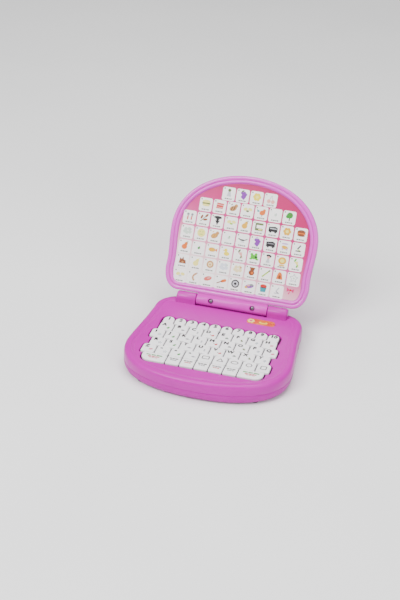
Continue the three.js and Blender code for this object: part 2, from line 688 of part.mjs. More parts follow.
place(laptop, 'speaker_frame', speakerFrameGeometry(), 'speaker_black')
  .position.set(SPEAKER.x, SPEAKER.y, SPEAKER.z);
place(laptop, 'speaker_cone', speakerConeGeometry(), 'cone_paper')
  .position.set(SPEAKER.x, SPEAKER.y, SPEAKER.z);
place(laptop, 'speaker_magnet', speakerMagnetGeometry(), 'magnet_steel')
  .position.set(SPEAKER.x, SPEAKER.y, SPEAKER.z + SPEAKER.magnet);
[-1, 0, 1].forEach((row, i) => {
  const y = CELL.y + row * CELL.pitch;
  const turn = i % 2 === 0 ? 0 : Math.PI;
  const side = i % 2 === 0 ? 1 : -1;
  const cell = place(laptop, `battery_${i + 1}`, cellGeometry(), 'cell_blue');
  cell.position.set(side * (-BAY.half + 6.2), y, CELL.z);
  cell.rotation.z = turn;
  const spring = place(laptop, `battery_spring_${i + 1}`, springGeometry(), 'spring_steel');
  spring.position.set(side * (-BAY.half + 1.2), y, CELL.z);
  spring.rotation.z = turn;
  const tab = place(laptop, `battery_contact_${i + 1}`, block(-0.25, 0.25, -5, 5, -5, 5), 'spring_steel');
  tab.position.set(side * (BAY.half - 0.4), y, CELL.z);
});
place(laptop, 'battery_door', batteryDoorGeometry(), 'case_pink');
FEET.forEach(([x, y], i) => {
  place(laptop, `foot_${i + 1}`, footGeometry(), 'foot_rubber').position.set(x, y, 0);
});
CASE_SCREWS.forEach(([x, y], i) => {
  place(laptop, `case_screw_${i + 1}`, screwGeometry(CASE_SCREW), 'screw_steel')
    .position.set(x, y, HEAD_SEAT - CASE_SCREW.rise);
});
place(laptop, 'deck_label', labelGeometry(), 'label_orange');
[-1, 1].forEach((sign) => {
  const side = sign < 0 ? 'left' : 'right';
  const [x0, x1] = sign < 0 ? [-PIN_OUT, -PIN_IN] : [PIN_IN, PIN_OUT];
  place(laptop, `hinge_pin_${side}`, rod(x0, x1, AXIS_Y, AXIS_Z, PIN_RADIUS, 12), 'spring_steel');
});

place(lid, 'lid_front_shell', lidFrontGeometry(), 'lid_pink');
place(lid, 'lid_back_shell', lidBackGeometry(), 'lid_back_pink');
place(lid, 'picture_card', pictureCardGeometry(), 'card_print');
LID_SCREWS.forEach(([x, y], i) => {
  place(lid, `lid_screw_${i + 1}`, screwGeometry(LID_SCREW), 'screw_steel')
    .position.set(x, y, LID_HEAD_SEAT - LID_SCREW.rise);
});
[-1, 1].forEach((sign) => {
  const side = sign < 0 ? 'left' : 'right';
  const screw = place(lid, `hinge_screw_${side}`, screwGeometry(HINGE_SCREW), 'screw_steel');
  screw.position.set(sign * HINGE_SCREW_X, 0, HINGE_HEAD_SEAT + HINGE_SCREW.rise);
  screw.rotation.x = Math.PI;
});

// The origin is under the middle of the whole object, on the table.
laptop.updateMatrixWorld(true);
const extent = new THREE.Box3().setFromObject(laptop, true);
const middle = extent.getCenter(new THREE.Vector3());
laptop.position.set(-middle.x, -middle.y, -extent.min.z);

export default laptop;
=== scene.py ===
"""Toy laptop computer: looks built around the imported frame. Drawn in millimetres, placed in metres."""

import json
import math

import bmesh
import bpy
from mathutils import Matrix, Vector


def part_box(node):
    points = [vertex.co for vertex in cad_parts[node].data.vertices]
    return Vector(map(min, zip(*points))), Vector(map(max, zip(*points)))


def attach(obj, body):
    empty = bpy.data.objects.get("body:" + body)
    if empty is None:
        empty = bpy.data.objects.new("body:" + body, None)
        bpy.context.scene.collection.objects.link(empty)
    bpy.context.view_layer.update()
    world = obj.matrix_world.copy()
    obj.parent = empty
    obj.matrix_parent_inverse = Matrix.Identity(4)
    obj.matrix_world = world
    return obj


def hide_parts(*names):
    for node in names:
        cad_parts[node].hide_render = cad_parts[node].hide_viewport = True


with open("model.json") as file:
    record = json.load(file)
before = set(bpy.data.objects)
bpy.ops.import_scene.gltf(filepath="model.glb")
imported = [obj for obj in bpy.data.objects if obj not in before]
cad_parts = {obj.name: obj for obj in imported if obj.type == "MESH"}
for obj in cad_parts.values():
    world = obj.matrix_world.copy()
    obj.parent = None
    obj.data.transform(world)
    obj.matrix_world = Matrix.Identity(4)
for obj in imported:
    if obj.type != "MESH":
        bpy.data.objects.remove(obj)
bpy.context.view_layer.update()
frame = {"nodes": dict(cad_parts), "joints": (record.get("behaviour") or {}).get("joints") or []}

# ---------- places, all from the frame ----------
MM = 0.001
HINGE = Vector(next(j["pos_m"] for j in frame["joints"] if j["name"] == "lid_hinge"))
HINGE_DEPTH = 99.0  # millimetres from the third letter row back to the hinge axis
LID_TILT = 30.0  # degrees back from upright
BASE = Matrix.Translation((0, HINGE.y - HINGE_DEPTH * MM, 0)) @ Matrix.Scale(MM, 4)
LID = (
    Matrix.Translation(HINGE)
    @ Matrix.Rotation(math.radians(90 - LID_TILT), 4, "X")
    @ Matrix.Scale(MM, 4)
)
FLAT_AXES = (Vector((0, 0, 1)), LID.to_3x3().col[2].normalized())
RIM_TOP = 30.0
PANEL_TOP = 28.6
KEY_TOP = 30.0


def linked(obj):
    """Puts an object in the scene."""
    bpy.context.scene.collection.objects.link(obj)
    return obj


def in_base(point):
    """A point of the row frame as base millimetres."""
    return BASE.inverted() @ Vector(point)


def node_rect(node):
    """A node's box in the base plane: centre x, centre y, width and depth in millimetres."""
    low, high = (in_base(corner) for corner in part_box(node))
    return (low.x + high.x) / 2, (low.y + high.y) / 2, high.x - low.x, high.y - low.y


# ---------- camera ----------
CAMERA_AZIMUTH = 14.44
CAMERA_ELEVATION = 30.28
CAMERA_ROLL = 2.49
CAMERA_DISTANCE = 2.0
CAMERA_LENS = 90.0
CAMERA_AIM = (-16.93, -19.41, 104.65)  # base millimetres


def make_camera():
    azimuth, elevation = math.radians(CAMERA_AZIMUTH), math.radians(CAMERA_ELEVATION)
    back = Vector((
        math.sin(azimuth) * math.cos(elevation),
        -math.cos(azimuth) * math.cos(elevation),
        math.sin(elevation),
    ))
    data = bpy.data.cameras.new("camera")
    data.lens = CAMERA_LENS
    data.sensor_width = 36.0
    data.clip_start, data.clip_end = 0.05, 50.0
    camera = linked(bpy.data.objects.new("camera", data))
    turn = (-back).to_track_quat("-Z", "Y").to_matrix().to_4x4()
    roll = Matrix.Rotation(math.radians(CAMERA_ROLL), 4, "Z")
    place = BASE @ Vector(CAMERA_AIM) + back * CAMERA_DISTANCE
    camera.matrix_world = Matrix.Translation(place) @ turn @ roll
    bpy.context.scene.camera = camera


make_camera()


# ---------- materials ----------
def set_inputs(node, values):
    for slot, value in values.items():
        node.inputs[slot].default_value = value


class Shader:
    """A node material around one Principled shader."""

    def __init__(self, name, roughness, metallic=0, coat=0, specular=0.3):
        self.material = bpy.data.materials.new(name)
        self.material.use_nodes = True
        self.tree = self.material.node_tree
        self.shader = self.tree.nodes["Principled BSDF"]
        set_inputs(self.shader, {
            "Roughness": roughness, "Metallic": metallic, "Coat Weight": coat, "Coat Roughness": 0.08,
            "Specular IOR Level": specular,
        })
        self.place = self.tree.nodes.new("ShaderNodeTexCoord").outputs["Object"]

    def node(self, kind, values):
        made = self.tree.nodes.new(kind)
        set_inputs(made, values)
        return made

    def link(self, output, target):
        self.tree.links.new(output, target)

    def noise(self, scale, detail=2, distortion=0, stretch=None):
        values = {"Scale": scale, "Detail": detail, "Distortion": distortion}
        made = self.node("ShaderNodeTexNoise", values)
        source = self.place
        if stretch:
            mapping = self.node("ShaderNodeMapping", {"Scale": stretch})
            self.link(source, mapping.inputs["Vector"])
            source = mapping.outputs["Vector"]
        self.link(source, made.inputs["Vector"])
        return made.outputs["Fac"]

    def ramp(self, source, stops):
        made = self.node("ShaderNodeValToRGB", {})
        ramp = made.color_ramp
        while len(ramp.elements) < len(stops):
            ramp.elements.new(0.5)
        for element, (position, color) in zip(ramp.elements, stops):
            element.position = position
            element.color = (*color, 1)
        self.link(source, made.inputs["Fac"])
        return made.outputs["Color"]

    def range(self, source, low, high, start=0, end=1):
        """Maps start..end of a source onto low..high."""
        values = {"From Min": start, "From Max": end, "To Min": low, "To Max": high}
        made = self.node("ShaderNodeMapRange", values)
        self.link(source, made.inputs["Value"])
        return made.outputs["Result"]

    def color(self, output):
        self.link(output, self.shader.inputs["Base Color"])

    def roughness(self, output):
        self.link(output, self.shader.inputs["Roughness"])

    def bump(self, source, distance, strength=1):
        made = self.node("ShaderNodeBump", {"Strength": strength, "Distance": distance})
        self.link(source, made.inputs["Height"])
        previous = self.shader.inputs["Normal"]
        if previous.is_linked:
            self.link(previous.links[0].from_socket, made.inputs["Normal"])
        self.link(made.outputs["Normal"], previous)


def shade(color, factor):
    return tuple(min(1, c * factor) for c in color)


def moulded_plastic(name, color, roughness, grain=0.00002, coat=0, flow=0.05):
    """Injection-moulded plastic: faint flow clouds, a fine spark-eroded grain and uneven gloss."""
    made = Shader(name, roughness, coat=coat)
    clouds = made.noise(9, 3, 0.4)
    made.color(made.ramp(clouds, [(0.3, shade(color, 1 - flow)), (0.7, shade(color, 1 + flow * 0.6))]))
    made.roughness(made.range(made.noise(60, 4), roughness - 0.06, roughness + 0.08))
    made.bump(made.noise(2600, 2), grain, 0.5)
    made.bump(made.noise(45, 1), 0.00012, 0.25)
    return made.material


def print_ink(name, color, roughness=0.42):
    """Printed ink: a little uneven in density, with a fine halftone tooth."""
    made = Shader(name, roughness)
    density = made.noise(900, 2)
    made.color(made.ramp(density, [(0.25, shade(color, 0.9)), (0.75, shade(color, 1.06))]))
    made.bump(made.noise(3500, 1), 0.00001, 0.4)
    return made.material


def metal(name, color, roughness):
    made = Shader(name, roughness, metallic=1)
    brushed = made.noise(700, 3, stretch=(1, 1, 14))
    made.color(made.ramp(brushed, [(0.3, shade(color, 0.82)), (0.7, color)]))
    made.roughness(made.range(brushed, roughness - 0.08, roughness + 0.12))
    made.bump(brushed, 0.00002, 0.5)
    return made.material


def rubber(name, color, roughness=0.75):
    made = Shader(name, roughness, specular=0.35)
    made.color(made.ramp(made.noise(70, 4), [(0.3, shade(color, 0.8)), (0.7, shade(color, 1.15))]))
    made.bump(made.noise(1800, 3), 0.00005, 0.6)
    return made.material


def circuit_mask(name):
    """Green solder mask with copper tracks showing faintly under it."""
    made = Shader(name, 0.4)
    brick = made.node("ShaderNodeTexBrick", {
        "Scale": 160, "Mortar Size": 0.03, "Color1": (0.02, 0.16, 0.05, 1), "Color2": (0.03, 0.2, 0.06, 1),
        "Mortar": (0.1, 0.36, 0.1, 1),
    })
    made.link(made.place, brick.inputs["Vector"])
    made.color(brick.outputs["Color"])
    made.bump(brick.outputs["Fac"], 0.00003, 0.6)
    return made.material


def battery_sleeve(name):
    """A plain printed sleeve: blue body with a silver end band, by place along the cell."""
    made = Shader(name, 0.3, metallic=0.4, coat=0.3)
    split = made.node("ShaderNodeSeparateXYZ", {})
    made.link(made.place, split.inputs["Vector"])
    along = made.range(split.outputs["X"], 0, 1, -0.03, 0.03)
    made.color(made.ramp(along, [(0, (0.5, 0.5, 0.54)), (0.22, (0.03, 0.12, 0.42))]))
    made.bump(made.noise(500, 2), 0.00002, 0.4)
    return made.material


def lid_backdrop(name):
    """The card's printed ground: hot pink at the top right, fading to white at the hinge edge."""
    made = Shader(name, 0.3, coat=0.25)
    split = made.node("ShaderNodeSeparateXYZ", {})
    made.link(made.place, split.inputs["Vector"])
    low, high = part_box("picture_card")
    height = made.range(split.outputs["Z"], 0, 1, low.z, high.z)
    across = made.range(split.outputs["X"], -0.18, 0.26, low.x, high.x)
    blend = made.node("ShaderNodeMath", {})
    made.link(height, blend.inputs[0])
    made.link(across, blend.inputs[1])
    wash = made.node("ShaderNodeMath", {1: 0.16})
    wash.operation = "MULTIPLY_ADD"
    made.link(made.noise(14, 2, 0.6), wash.inputs[0])
    made.link(blend.outputs[0], wash.inputs[2])
    made.color(made.ramp(wash.outputs[0], [
        (0.1, (0.88, 0.85, 0.82)), (0.3, (0.77, 0.4, 0.48)), (0.48, (0.62, 0.09, 0.27)),
        (0.72, (0.52, 0.008, 0.18)), (1, (0.45, 0, 0.11)),
    ]))
    made.bump(made.noise(1500, 2), 0.00001, 0.3)
    return made.material


def label_wash(name):
    """The label's ground: orange with yellow clouds."""
    made = Shader(name, 0.32, coat=0.2)
    made.color(made.ramp(made.noise(110, 2, 0.8), [
        (0.3, (0.58, 0.035, 0)), (0.5, (0.66, 0.1, 0.004)), (0.75, (0.74, 0.27, 0.015)),
    ]))
    made.bump(made.noise(1500, 2), 0.00001, 0.3)
    return made.material


DECK_PINK = (0.47, 0, 0.35)
LID_PINK = (0.67, 0.065, 0.55)
materials = {
    "deck": moulded_plastic("deck_plastic", DECK_PINK, 0.33),
    "case": moulded_plastic("case_plastic", shade(DECK_PINK, 0.92), 0.42, 0.00004),
    # well: deck pink darkened almost to black, painted shade in the gap round the keys
    "well": moulded_plastic("well_floor_painted_shade", shade(DECK_PINK, 0.16), 0.55),
    "barrel": moulded_plastic("barrel_plastic", (0.6, 0.016, 0.46), 0.34),
    "rim": moulded_plastic("lid_rim_plastic", LID_PINK, 0.2, coat=0.4),
    "lid_back": moulded_plastic("lid_back_plastic", shade(LID_PINK, 0.95), 0.36, 0.00003),
    "cap": moulded_plastic("key_cap_plastic", (0.93, 0.92, 0.93), 0.42, flow=0.015),
    # web: dark grey where the real mat is white, painted shade in the slits between the caps
    "web": rubber("key_web_silicone", (0.09, 0.075, 0.09), 0.7),
    "silicone": rubber("dome_silicone_rubber", (0.42, 0.45, 0.47), 0.6),
    "ground": lid_backdrop("card_ground_print"),
    "tile": print_ink("card_tile_print", (0.93, 0.92, 0.9), 0.35),
    "sticker": label_wash("label_sticker_print"),
    "screw": metal("screw_steel_plate", (0.2, 0.15, 0.2), 0.3),
    "spring": metal("spring_nickel", (0.62, 0.63, 0.66), 0.25),
    "magnet": metal("magnet_plate", (0.4, 0.41, 0.43), 0.4),
    "foot": rubber("foot_rubber_grain", (0.035, 0.034, 0.04)),
    "board": circuit_mask("board_solder_mask"),
    "epoxy": moulded_plastic("chip_epoxy", (0.012, 0.012, 0.014), 0.25, flow=0.3),
    "speaker": moulded_plastic("speaker_frame_paint", (0.02, 0.02, 0.024), 0.45, 0.00004, flow=0.3),
    "cone": rubber("speaker_cone_paper", (0.03, 0.027, 0.024), 0.85),
    "cell": battery_sleeve("battery_sleeve_print"),
}

INKS = {
    "ink": (0.012, 0.01, 0.012), "caption": (0.08, 0.075, 0.08), "grey": (0.2, 0.2, 0.22),
    "silver": (0.5, 0.51, 0.54), "mist": (0.52, 0.62, 0.53), "white": (0.62, 0.66, 0.74),
    "red": (0.5, 0.012, 0.01), "coral": (0.62, 0.1, 0.08), "orange": (0.66, 0.13, 0.008),
    "gold": (0.68, 0.36, 0.015), "yellow": (0.78, 0.62, 0.03), "straw": (0.82, 0.74, 0.2),
    "lime": (0.3, 0.52, 0.02), "leaf": (0.06, 0.42, 0.008), "green": (0.02, 0.25, 0.015),
    "olive": (0.09, 0.13, 0.03), "teal": (0.015, 0.25, 0.3), "purple": (0.2, 0.02, 0.33),
    "lilac": (0.5, 0.32, 0.62), "pink": (0.62, 0.02, 0.17), "blush": (0.76, 0.34, 0.3),
    "brown": (0.2, 0.05, 0.012), "tan": (0.45, 0.21, 0.06), "cream": (0.8, 0.66, 0.36),
}


def ink_material(name):
    key = "ink_" + name
    if key not in materials:
        materials[key] = print_ink(key, INKS[name])
    return materials[key]


# ---------- outlines, in millimetres ----------
def bezier(a, b, c, d, steps):
    points = []
    for i in range(1, steps + 1):
        t = i / steps
        u = 1 - t
        points.append(tuple(
            u ** 3 * a[k] + 3 * u * u * t * b[k] + 3 * u * t * t * c[k] + t ** 3 * d[k] for k in (0, 1)
        ))
    return points


def arc(cx, cy, radius, start, end, steps):
    angles = [math.radians(start + (end - start) * i / steps) for i in range(steps + 1)]
    return [(cx + radius * math.cos(a), cy + radius * math.sin(a)) for a in angles]


def mirrored(half):
    return half + [(-x, y) for x, y in reversed(half) if x > 1e-6]


def subdivided(points, longest=12):
    """Long straight stretches cut up, so that every loop bends and shades evenly."""
    result = []
    for (x0, y0), (x1, y1) in zip(points, points[1:]):
        pieces = max(1, math.ceil(math.hypot(x1 - x0, y1 - y0) / longest))
        result += [(x0 + (x1 - x0) * i / pieces, y0 + (y1 - y0) * i / pieces) for i in range(pieces)]
    return result + [points[-1]]


BASE_FRONT, BASE_BACK, BASE_HALF, BASE_BACK_HALF, BASE_CORNER = -104, 109.5, 116.3, 107, 34.0
BASE_WIDEST = -26.0


def base_outline():
    corner = (BASE_BACK_HALF - BASE_CORNER, BASE_BACK - BASE_CORNER)
    widest = (BASE_HALF, BASE_WIDEST)
    half = [(0, BASE_FRONT)]
    half += bezier(half[-1], (70, BASE_FRONT), (BASE_HALF, -79), widest, 30)
    half += bezier(widest, (BASE_HALF, -8), (BASE_BACK_HALF + 0.8, 40), (BASE_BACK_HALF, corner[1]), 16)
    half += arc(*corner, BASE_CORNER, 0, 90, 16)[1:] + [(0, BASE_BACK)]
    return mirrored(subdivided(half))


LID_BOTTOM, LID_TOP, LID_HALF, LID_WIDEST = 8.8, 184, 106.6, 98.0


def lid_outline():
    arch = LID_TOP - LID_WIDEST
    waist, widest = (104.8, 40), (LID_HALF, LID_WIDEST)
    half = [(0, LID_BOTTOM), (82, LID_BOTTOM)]
    half += bezier(half[-1], (96, LID_BOTTOM), (104.6, 20), waist, 14)
    half += bezier(waist, (102.8, 62), (LID_HALF, 72), widest, 14)
    shoulder, crest = (LID_HALF, LID_WIDEST + 0.6 * arch), (0.56 * LID_HALF, LID_TOP)
    half += bezier(widest, shoulder, crest, (0, LID_TOP), 34)
    return mirrored(subdivided(half))


def inset(points, distance):
    """The outline moved inwards, for an outline that runs anticlockwise."""
    count = len(points)
    moved = []
    for i, (x, y) in enumerate(points):
        before, after = points[i - 1], points[(i + 1) % count]
        tx, ty = after[0] - before[0], after[1] - before[1]
        length = math.hypot(tx, ty)
        moved.append((x - ty / length * distance, y + tx / length * distance))
    return moved


def scaled(points, centre, factor):
    cx, cy = centre
    return [(cx + (x - cx) * factor, cy + (y - cy) * factor) for x, y in points]


def rounded(x, y, width, depth, radii, front_steps, back_steps):
    """A rectangle with a radius for each corner, from the front right one round."""
    left, right, low, high = x - width / 2, x + width / 2, y - depth / 2, y + depth / 2
    a, b, c, d = radii
    return (
        arc(right - a, low + a, a, -90, 0, front_steps) + arc(right - b, high - b, b, 0, 90, back_steps)
        + arc(left + c, high - c, c, 90, 180, back_steps)
        + arc(left + d, low + d, d, 180, 270, front_steps)
    )


def key_outline(x, y, width, depth, far=5, near=1.6, steps=6):
    """A key seen from above: round far corners, tight near ones."""
    return rounded(x, y, width, depth, (near, far, far, near), 3, steps)


def end_key_outline(x, y, width, depth, side):
    """A wide function key with one large near corner on its outer side."""
    right, left = (11, 1.2) if side > 0 else (1.2, 11)
    return rounded(x, y, width, depth, (right, 2, 2, left), 8, 3)


def ellipse(cx, cy, rx, ry, turn=0, steps=18):
    c, s = math.cos(math.radians(turn)), math.sin(math.radians(turn))
    points = []
    for i in range(steps):
        a = 2 * math.pi * i / steps
        px, py = rx * math.cos(a), ry * math.sin(a)
        points.append((cx + px * c - py * s, cy + px * s + py * c))
    return points


# ---------- meshes ----------
def solid_mesh(name, verts, faces):
    """A mesh with every face turned outwards."""
    mesh = bpy.data.meshes.new(name)
    mesh.from_pydata(verts, [], faces)
    mesh.validate()
    build = bmesh.new()
    build.from_mesh(mesh)
    bmesh.ops.recalc_face_normals(build, faces=build.faces)
    build.to_mesh(mesh)
    build.free()
    return mesh


def piece(name, verts, faces, place, body, material, slot, replaces=(), angle=40):
    """A finished mesh object in the row frame that rides on a body."""
    mesh = solid_mesh(name, [place @ Vector(v) for v in verts], faces)
    return dress(linked(bpy.data.objects.new(name, mesh)), body, material, replaces, angle)


def dress(obj, body, material, replaces=(), angle=40):
    obj.data.materials.clear()
    obj.data.materials.append(materials[material])
    smooth(obj.data, angle)
    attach(obj, body)
    if replaces:
        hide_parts(*replaces)
    return obj


def smooth(mesh, angle):
    """Smooth shading, apart from sharp edges and the level faces of the base and lid."""
    mesh.shade_smooth()
    mesh.set_sharp_from_angle(angle=math.radians(angle))
    for face in mesh.polygons:
        if any(abs(face.normal.dot(axis)) > 0.99999 for axis in FLAT_AXES):
            face.use_smooth = False


def lofted(rings):
    """Outlines with the same point count at their heights, joined up and capped at both ends."""
    count = len(rings[0][0])
    verts = [(x, y, height) for outline, height in rings for x, y in outline]
    faces = [tuple(reversed(range(count))), tuple(range(len(verts) - count, len(verts)))]
    for low in range(0, len(verts) - count, count):
        for i in range(count):
            j = (i + 1) % count
            faces.append((low + i, low + j, low + count + j, low + count + i))
    return verts, faces


def swept(outline, profile):
    """An outline lofted through (inset, height) steps."""
    return lofted([(inset(outline, step) if step else outline, height) for step, height in profile])


def turned(profile, steps=48):
    """A body of revolution about Z from (radius, height) points that start and end on the axis."""
    verts, faces, rings = [], [], []
    for radius, height in profile:
        if radius < 1e-6:
            rings.append([len(verts)] * steps)
            verts.append((0, 0, height))
        else:
            rings.append([len(verts) + i for i in range(steps)])
            verts += [(x, y, height) for x, y in ellipse(0, 0, radius, radius, 0, steps)]
    for low, high in zip(rings, rings[1:]):
        for i in range(steps):
            j = (i + 1) % steps
            corners = [low[i], low[j], high[j], high[i]]
            faces.append(tuple(dict.fromkeys(corners)))
    return verts, [f for f in faces if len(f) > 2]


def moved(shape, turn):
    verts, faces = shape
    return [tuple(turn @ Vector(v)) for v in verts], faces


def merged(shapes):
    verts, faces = [], []
    for own_verts, own_faces in shapes:
        start = len(verts)
        verts += own_verts
        faces += [tuple(start + i for i in face) for face in own_faces]
    return verts, faces


def box_shape(x0, x1, y0, y1, z0, z1):
    return swept([(x0, y0), (x1, y0), (x1, y1), (x0, y1)], [(0, z0), (0, z1)])


def prism(outline, low, high):
    return swept(outline, [(0, low), (0, high)])


def rod_shape(half, radius, edge=0.6):
    """A rod along X with eased ends."""
    ends = [(radius - edge, half), (radius - edge * 0.3, half - edge * 0.3), (radius, half - edge)]
    profile = [(0, -half)] + [(r, -x) for r, x in ends] + ends[::-1] + [(0, half)]
    return moved(turned(profile, 56), Matrix.Rotation(math.radians(90), 4, "Y"))


def cut(obj, shapes, operation="DIFFERENCE"):
    """A boolean with plain cutter shapes given in the same space as the object's own mesh."""
    cutter = draft("cutter", shapes)
    modifier = obj.modifiers.new("cut", "BOOLEAN")
    modifier.operation = operation
    modifier.object = cutter
    modifier.solver = "EXACT"
    modifier.use_self = True
    bake(obj)
    bpy.data.objects.remove(cutter)
    return obj


def bake(obj):
    """Applies an object's modifiers to its mesh."""
    graph = bpy.context.evaluated_depsgraph_get()
    result = bpy.data.meshes.new_from_object(obj.evaluated_get(graph))
    obj.modifiers.clear()
    obj.data = result


def draft(name, shapes):
    """An object in plain millimetres, to be cut and eased before it is placed."""
    return linked(bpy.data.objects.new(name, solid_mesh(name, *merged(shapes))))


def eased(obj, width, segments, angle):
    """Rounds an object's sharp edges."""
    modifier = obj.modifiers.new("ease", "BEVEL")
    modifier.width = width
    modifier.segments = segments
    modifier.limit_method = "ANGLE"
    modifier.angle_limit = math.radians(angle)
    modifier.miter_outer = "MITER_ARC"
    bake(obj)
    return obj


def finished(obj, place, body, material, replaces=()):
    obj.data.transform(place)
    return dress(obj, body, material, replaces, 35)


# ---------- key layout, from the CAD keys ----------
ROW_PITCH = 20.3
CAP_DEPTH = 19.9
# Each letter row: its number of keys, their pitch and the row's middle.
LETTER_ROWS = [(8, 21.05, ROW_PITCH), (9, 20, 0), (8, 21.05, -ROW_PITCH), (9, 20, -2 * ROW_PITCH)]
SLIT = 1.75  # between two caps of a row
WELL_MARGIN, FAR_MARGIN = 2.4, 3.7  # wide enough for the dark line round the keys, painted shade of the dark well floor, to show
WELL_FRONT_ROUND, WELL_BACK_ROUND = 13, 4
WELL_FLOOR, WELL_FLOOR_TOP = 23.5, 25.3


def letter_keys():
    return [
        ((i - (count - 1) / 2) * pitch, y, pitch - SLIT)
        for count, pitch, y in LETTER_ROWS
        for i in range(count)
    ]


number_rects = [node_rect(f"number_key_{i}") for i in range(1, 11)]
function_rects = [node_rect(f"function_key_{i}") for i in range(1, 8)]


def number_outline(rect, grow=0):
    x, y, width, depth = rect
    return key_outline(x, y, width + 2 * grow, depth + 2 * grow, (width + 2 * grow) / 2 - 0.01, 1.2, 12)


def function_outline(index):
    x, y, width, depth = function_rects[index]
    if index in (0, 6):
        return end_key_outline(x, y, width, depth, 1 if index else -1)
    return key_outline(x, y, width, depth, 2, 1.2, 3)


def well_outlines():
    """The scalloped key well: every row's own footprint with an even margin."""
    outlines = []
    for count, pitch, y in LETTER_ROWS:
        width = count * pitch - SLIT + 2 * WELL_MARGIN
        outlines.append(key_outline(0, y, width, CAP_DEPTH - 0.7 + 2 * WELL_MARGIN, 6.5, 3.5))
    outlines += [number_outline(rect, FAR_MARGIN) for rect in number_rects]
    x, y, width, depth = function_rects[-1]
    front, back = WELL_FRONT_ROUND, WELL_BACK_ROUND
    well_width, well_depth = 2 * x + width + 2 * WELL_MARGIN, depth + 2 * WELL_MARGIN
    return outlines + [rounded(0, y, well_width, well_depth, (front, back, back, front), 10, 4)]


# ---------- base ----------
KNUCKLE_IN, KNUCKLE_OUT, KNUCKLE_RADIUS, AXIS_Z = 52.6, 81, 8.2, 34.3
SEAM, SEAM_GAP = 15, 0.15  # where tray and deck meet
STEM_HOLE = 2.6


def make_deck():
    outline = base_outline()
    profile = [
        (2.2, SEAM + SEAM_GAP), (0, SEAM + SEAM_GAP), (0, 23), (0.15, 25.2), (0.7, 27.3), (1.7, 28.8),
        (3.2, 29.7), (5, RIM_TOP), (9.4, RIM_TOP), (9.8, 29.85), (10, 29.35), (10.5, 29.1), (13.3, 29),
        (13.8, 28.9), (14.1, PANEL_TOP), (30, PANEL_TOP),
    ]
    deck = draft("keyboard_deck_shell", [swept(outline, profile)])
    cut(deck, [prism(well, SEAM + 5, RIM_TOP + 10) for well in well_outlines()])
    trough_front = HINGE_DEPTH - KNUCKLE_RADIUS - 0.2
    cut(deck, [box_shape(-KNUCKLE_IN, KNUCKLE_IN, trough_front, BASE_BACK + 5, 26.2, 60)])
    eased(deck, 0.45, 2, 55)
    finished(deck, BASE, "base", "deck", ["keyboard_deck"])
    sheet = key_outline(0, -11, 188, 124, 12, 12)
    # The well floor is coloured dark as painted shade in the gap round the keys.
    floor = draft("key_well_floor", [prism(sheet, WELL_FLOOR, WELL_FLOOR_TOP)])
    rigid_keys = number_rects + function_rects
    holes = [ellipse(x, y, STEM_HOLE, STEM_HOLE, 0, 24) for x, y, _, _ in rigid_keys]
    cut(floor, [prism(hole, WELL_FLOOR - 3.5, RIM_TOP) for hole in holes])
    finished(floor, BASE, "base", "well")
    for side, sign in (("left", -1), ("right", 1)):
        make_knuckle(side, sign)


def make_knuckle(side, sign):
    """A hinge knuckle: a round-backed block that flares into the deck."""
    radius, foot = KNUCKLE_RADIUS, AXIS_Z - RIM_TOP
    section = [(-radius - 0.6, -foot - 1.5), (-radius, -foot + 0.9)]
    turns = [math.radians(a) for a in range(180, -1, -10)]
    section += [(radius * math.cos(turn), radius * math.sin(turn)) for turn in turns]
    section += [(radius, -foot + 0.9), (radius + 0.6, -foot - 1.5)]
    length = KNUCKLE_OUT - KNUCKLE_IN
    levels = [
        (0.9, 0), (0.35, 0.25), (0, 0.9), (0, length - 3), (0.5, length - 1.4), (1.6, length - 0.4),
        (2.6, length),
    ]
    rings = []
    for shrink, along in levels:
        factor = 1 - shrink / radius
        rings.append(([(y * factor, z * factor if z > 0 else z) for y, z in section], along))
    sideways = Matrix((
        (0, 0, sign, sign * KNUCKLE_IN), (1, 0, 0, HINGE_DEPTH), (0, 1, 0, AXIS_Z), (0, 0, 0, 1),
    ))
    piece(f"hinge_knuckle_{side}", *moved(lofted(rings), sideways), BASE, "base", "deck", "deck_pink",
          angle=38)


CASE_SCREWS = [(-98, 62), (98, 62), (-106, -32), (106, -32), (-58, -89), (58, -89)]
SCREW_HOLE = 3.3
DOOR_HALF, DOOR_GROOVE, BAY_FRONT = 31, 33.3, 46.5
GRILLE_RADIUS, GRILLE_PITCH, GRILLE_SLOT = 14, 5, 2


def make_bottom_shell():
    outline = base_outline()
    profile = [
        (6.6, 2), (5.2, 2.2), (3.4, 3), (1.8, 4.7), (0.7, 7.2), (0.1, 10), (0, 11.5),
        (0, SEAM - SEAM_GAP), (2.2, SEAM - SEAM_GAP),
    ]
    shell = draft("case_underside_shell", [swept(outline, profile)])
    x, y, _, _ = node_rect("speaker_frame")
    cuts = [
        box_shape(-DOOR_HALF, DOOR_HALF, BAY_FRONT, BASE_BACK + 5, 0, 4.6),
        box_shape(-DOOR_GROOVE, DOOR_GROOVE, BAY_FRONT, BASE_BACK + 5, 2.9, 4.4),
    ]
    for row in range(-2, 3):
        aside = GRILLE_PITCH * row
        length = 2 * math.sqrt(GRILLE_RADIUS ** 2 - aside ** 2)
        cuts.append(prism(key_outline(x, y + aside, length, GRILLE_SLOT, 0.99, 0.99, 4), 0, 8))
    for index in range(1, 5):
        x, y, width, _ = node_rect(f"foot_{index}")
        cuts.append(prism(ellipse(x, y, width / 2 + 0.3, width / 2 + 0.3, 0, 40), 0, 2.6))
    cuts += [prism(ellipse(x, y, SCREW_HOLE, SCREW_HOLE, 0, 28), 0, 8.2) for x, y in CASE_SCREWS]
    cut(shell, cuts)
    eased(shell, 0.3, 2, 50)
    finished(shell, BASE, "base", "case", ["base_bottom_shell"])


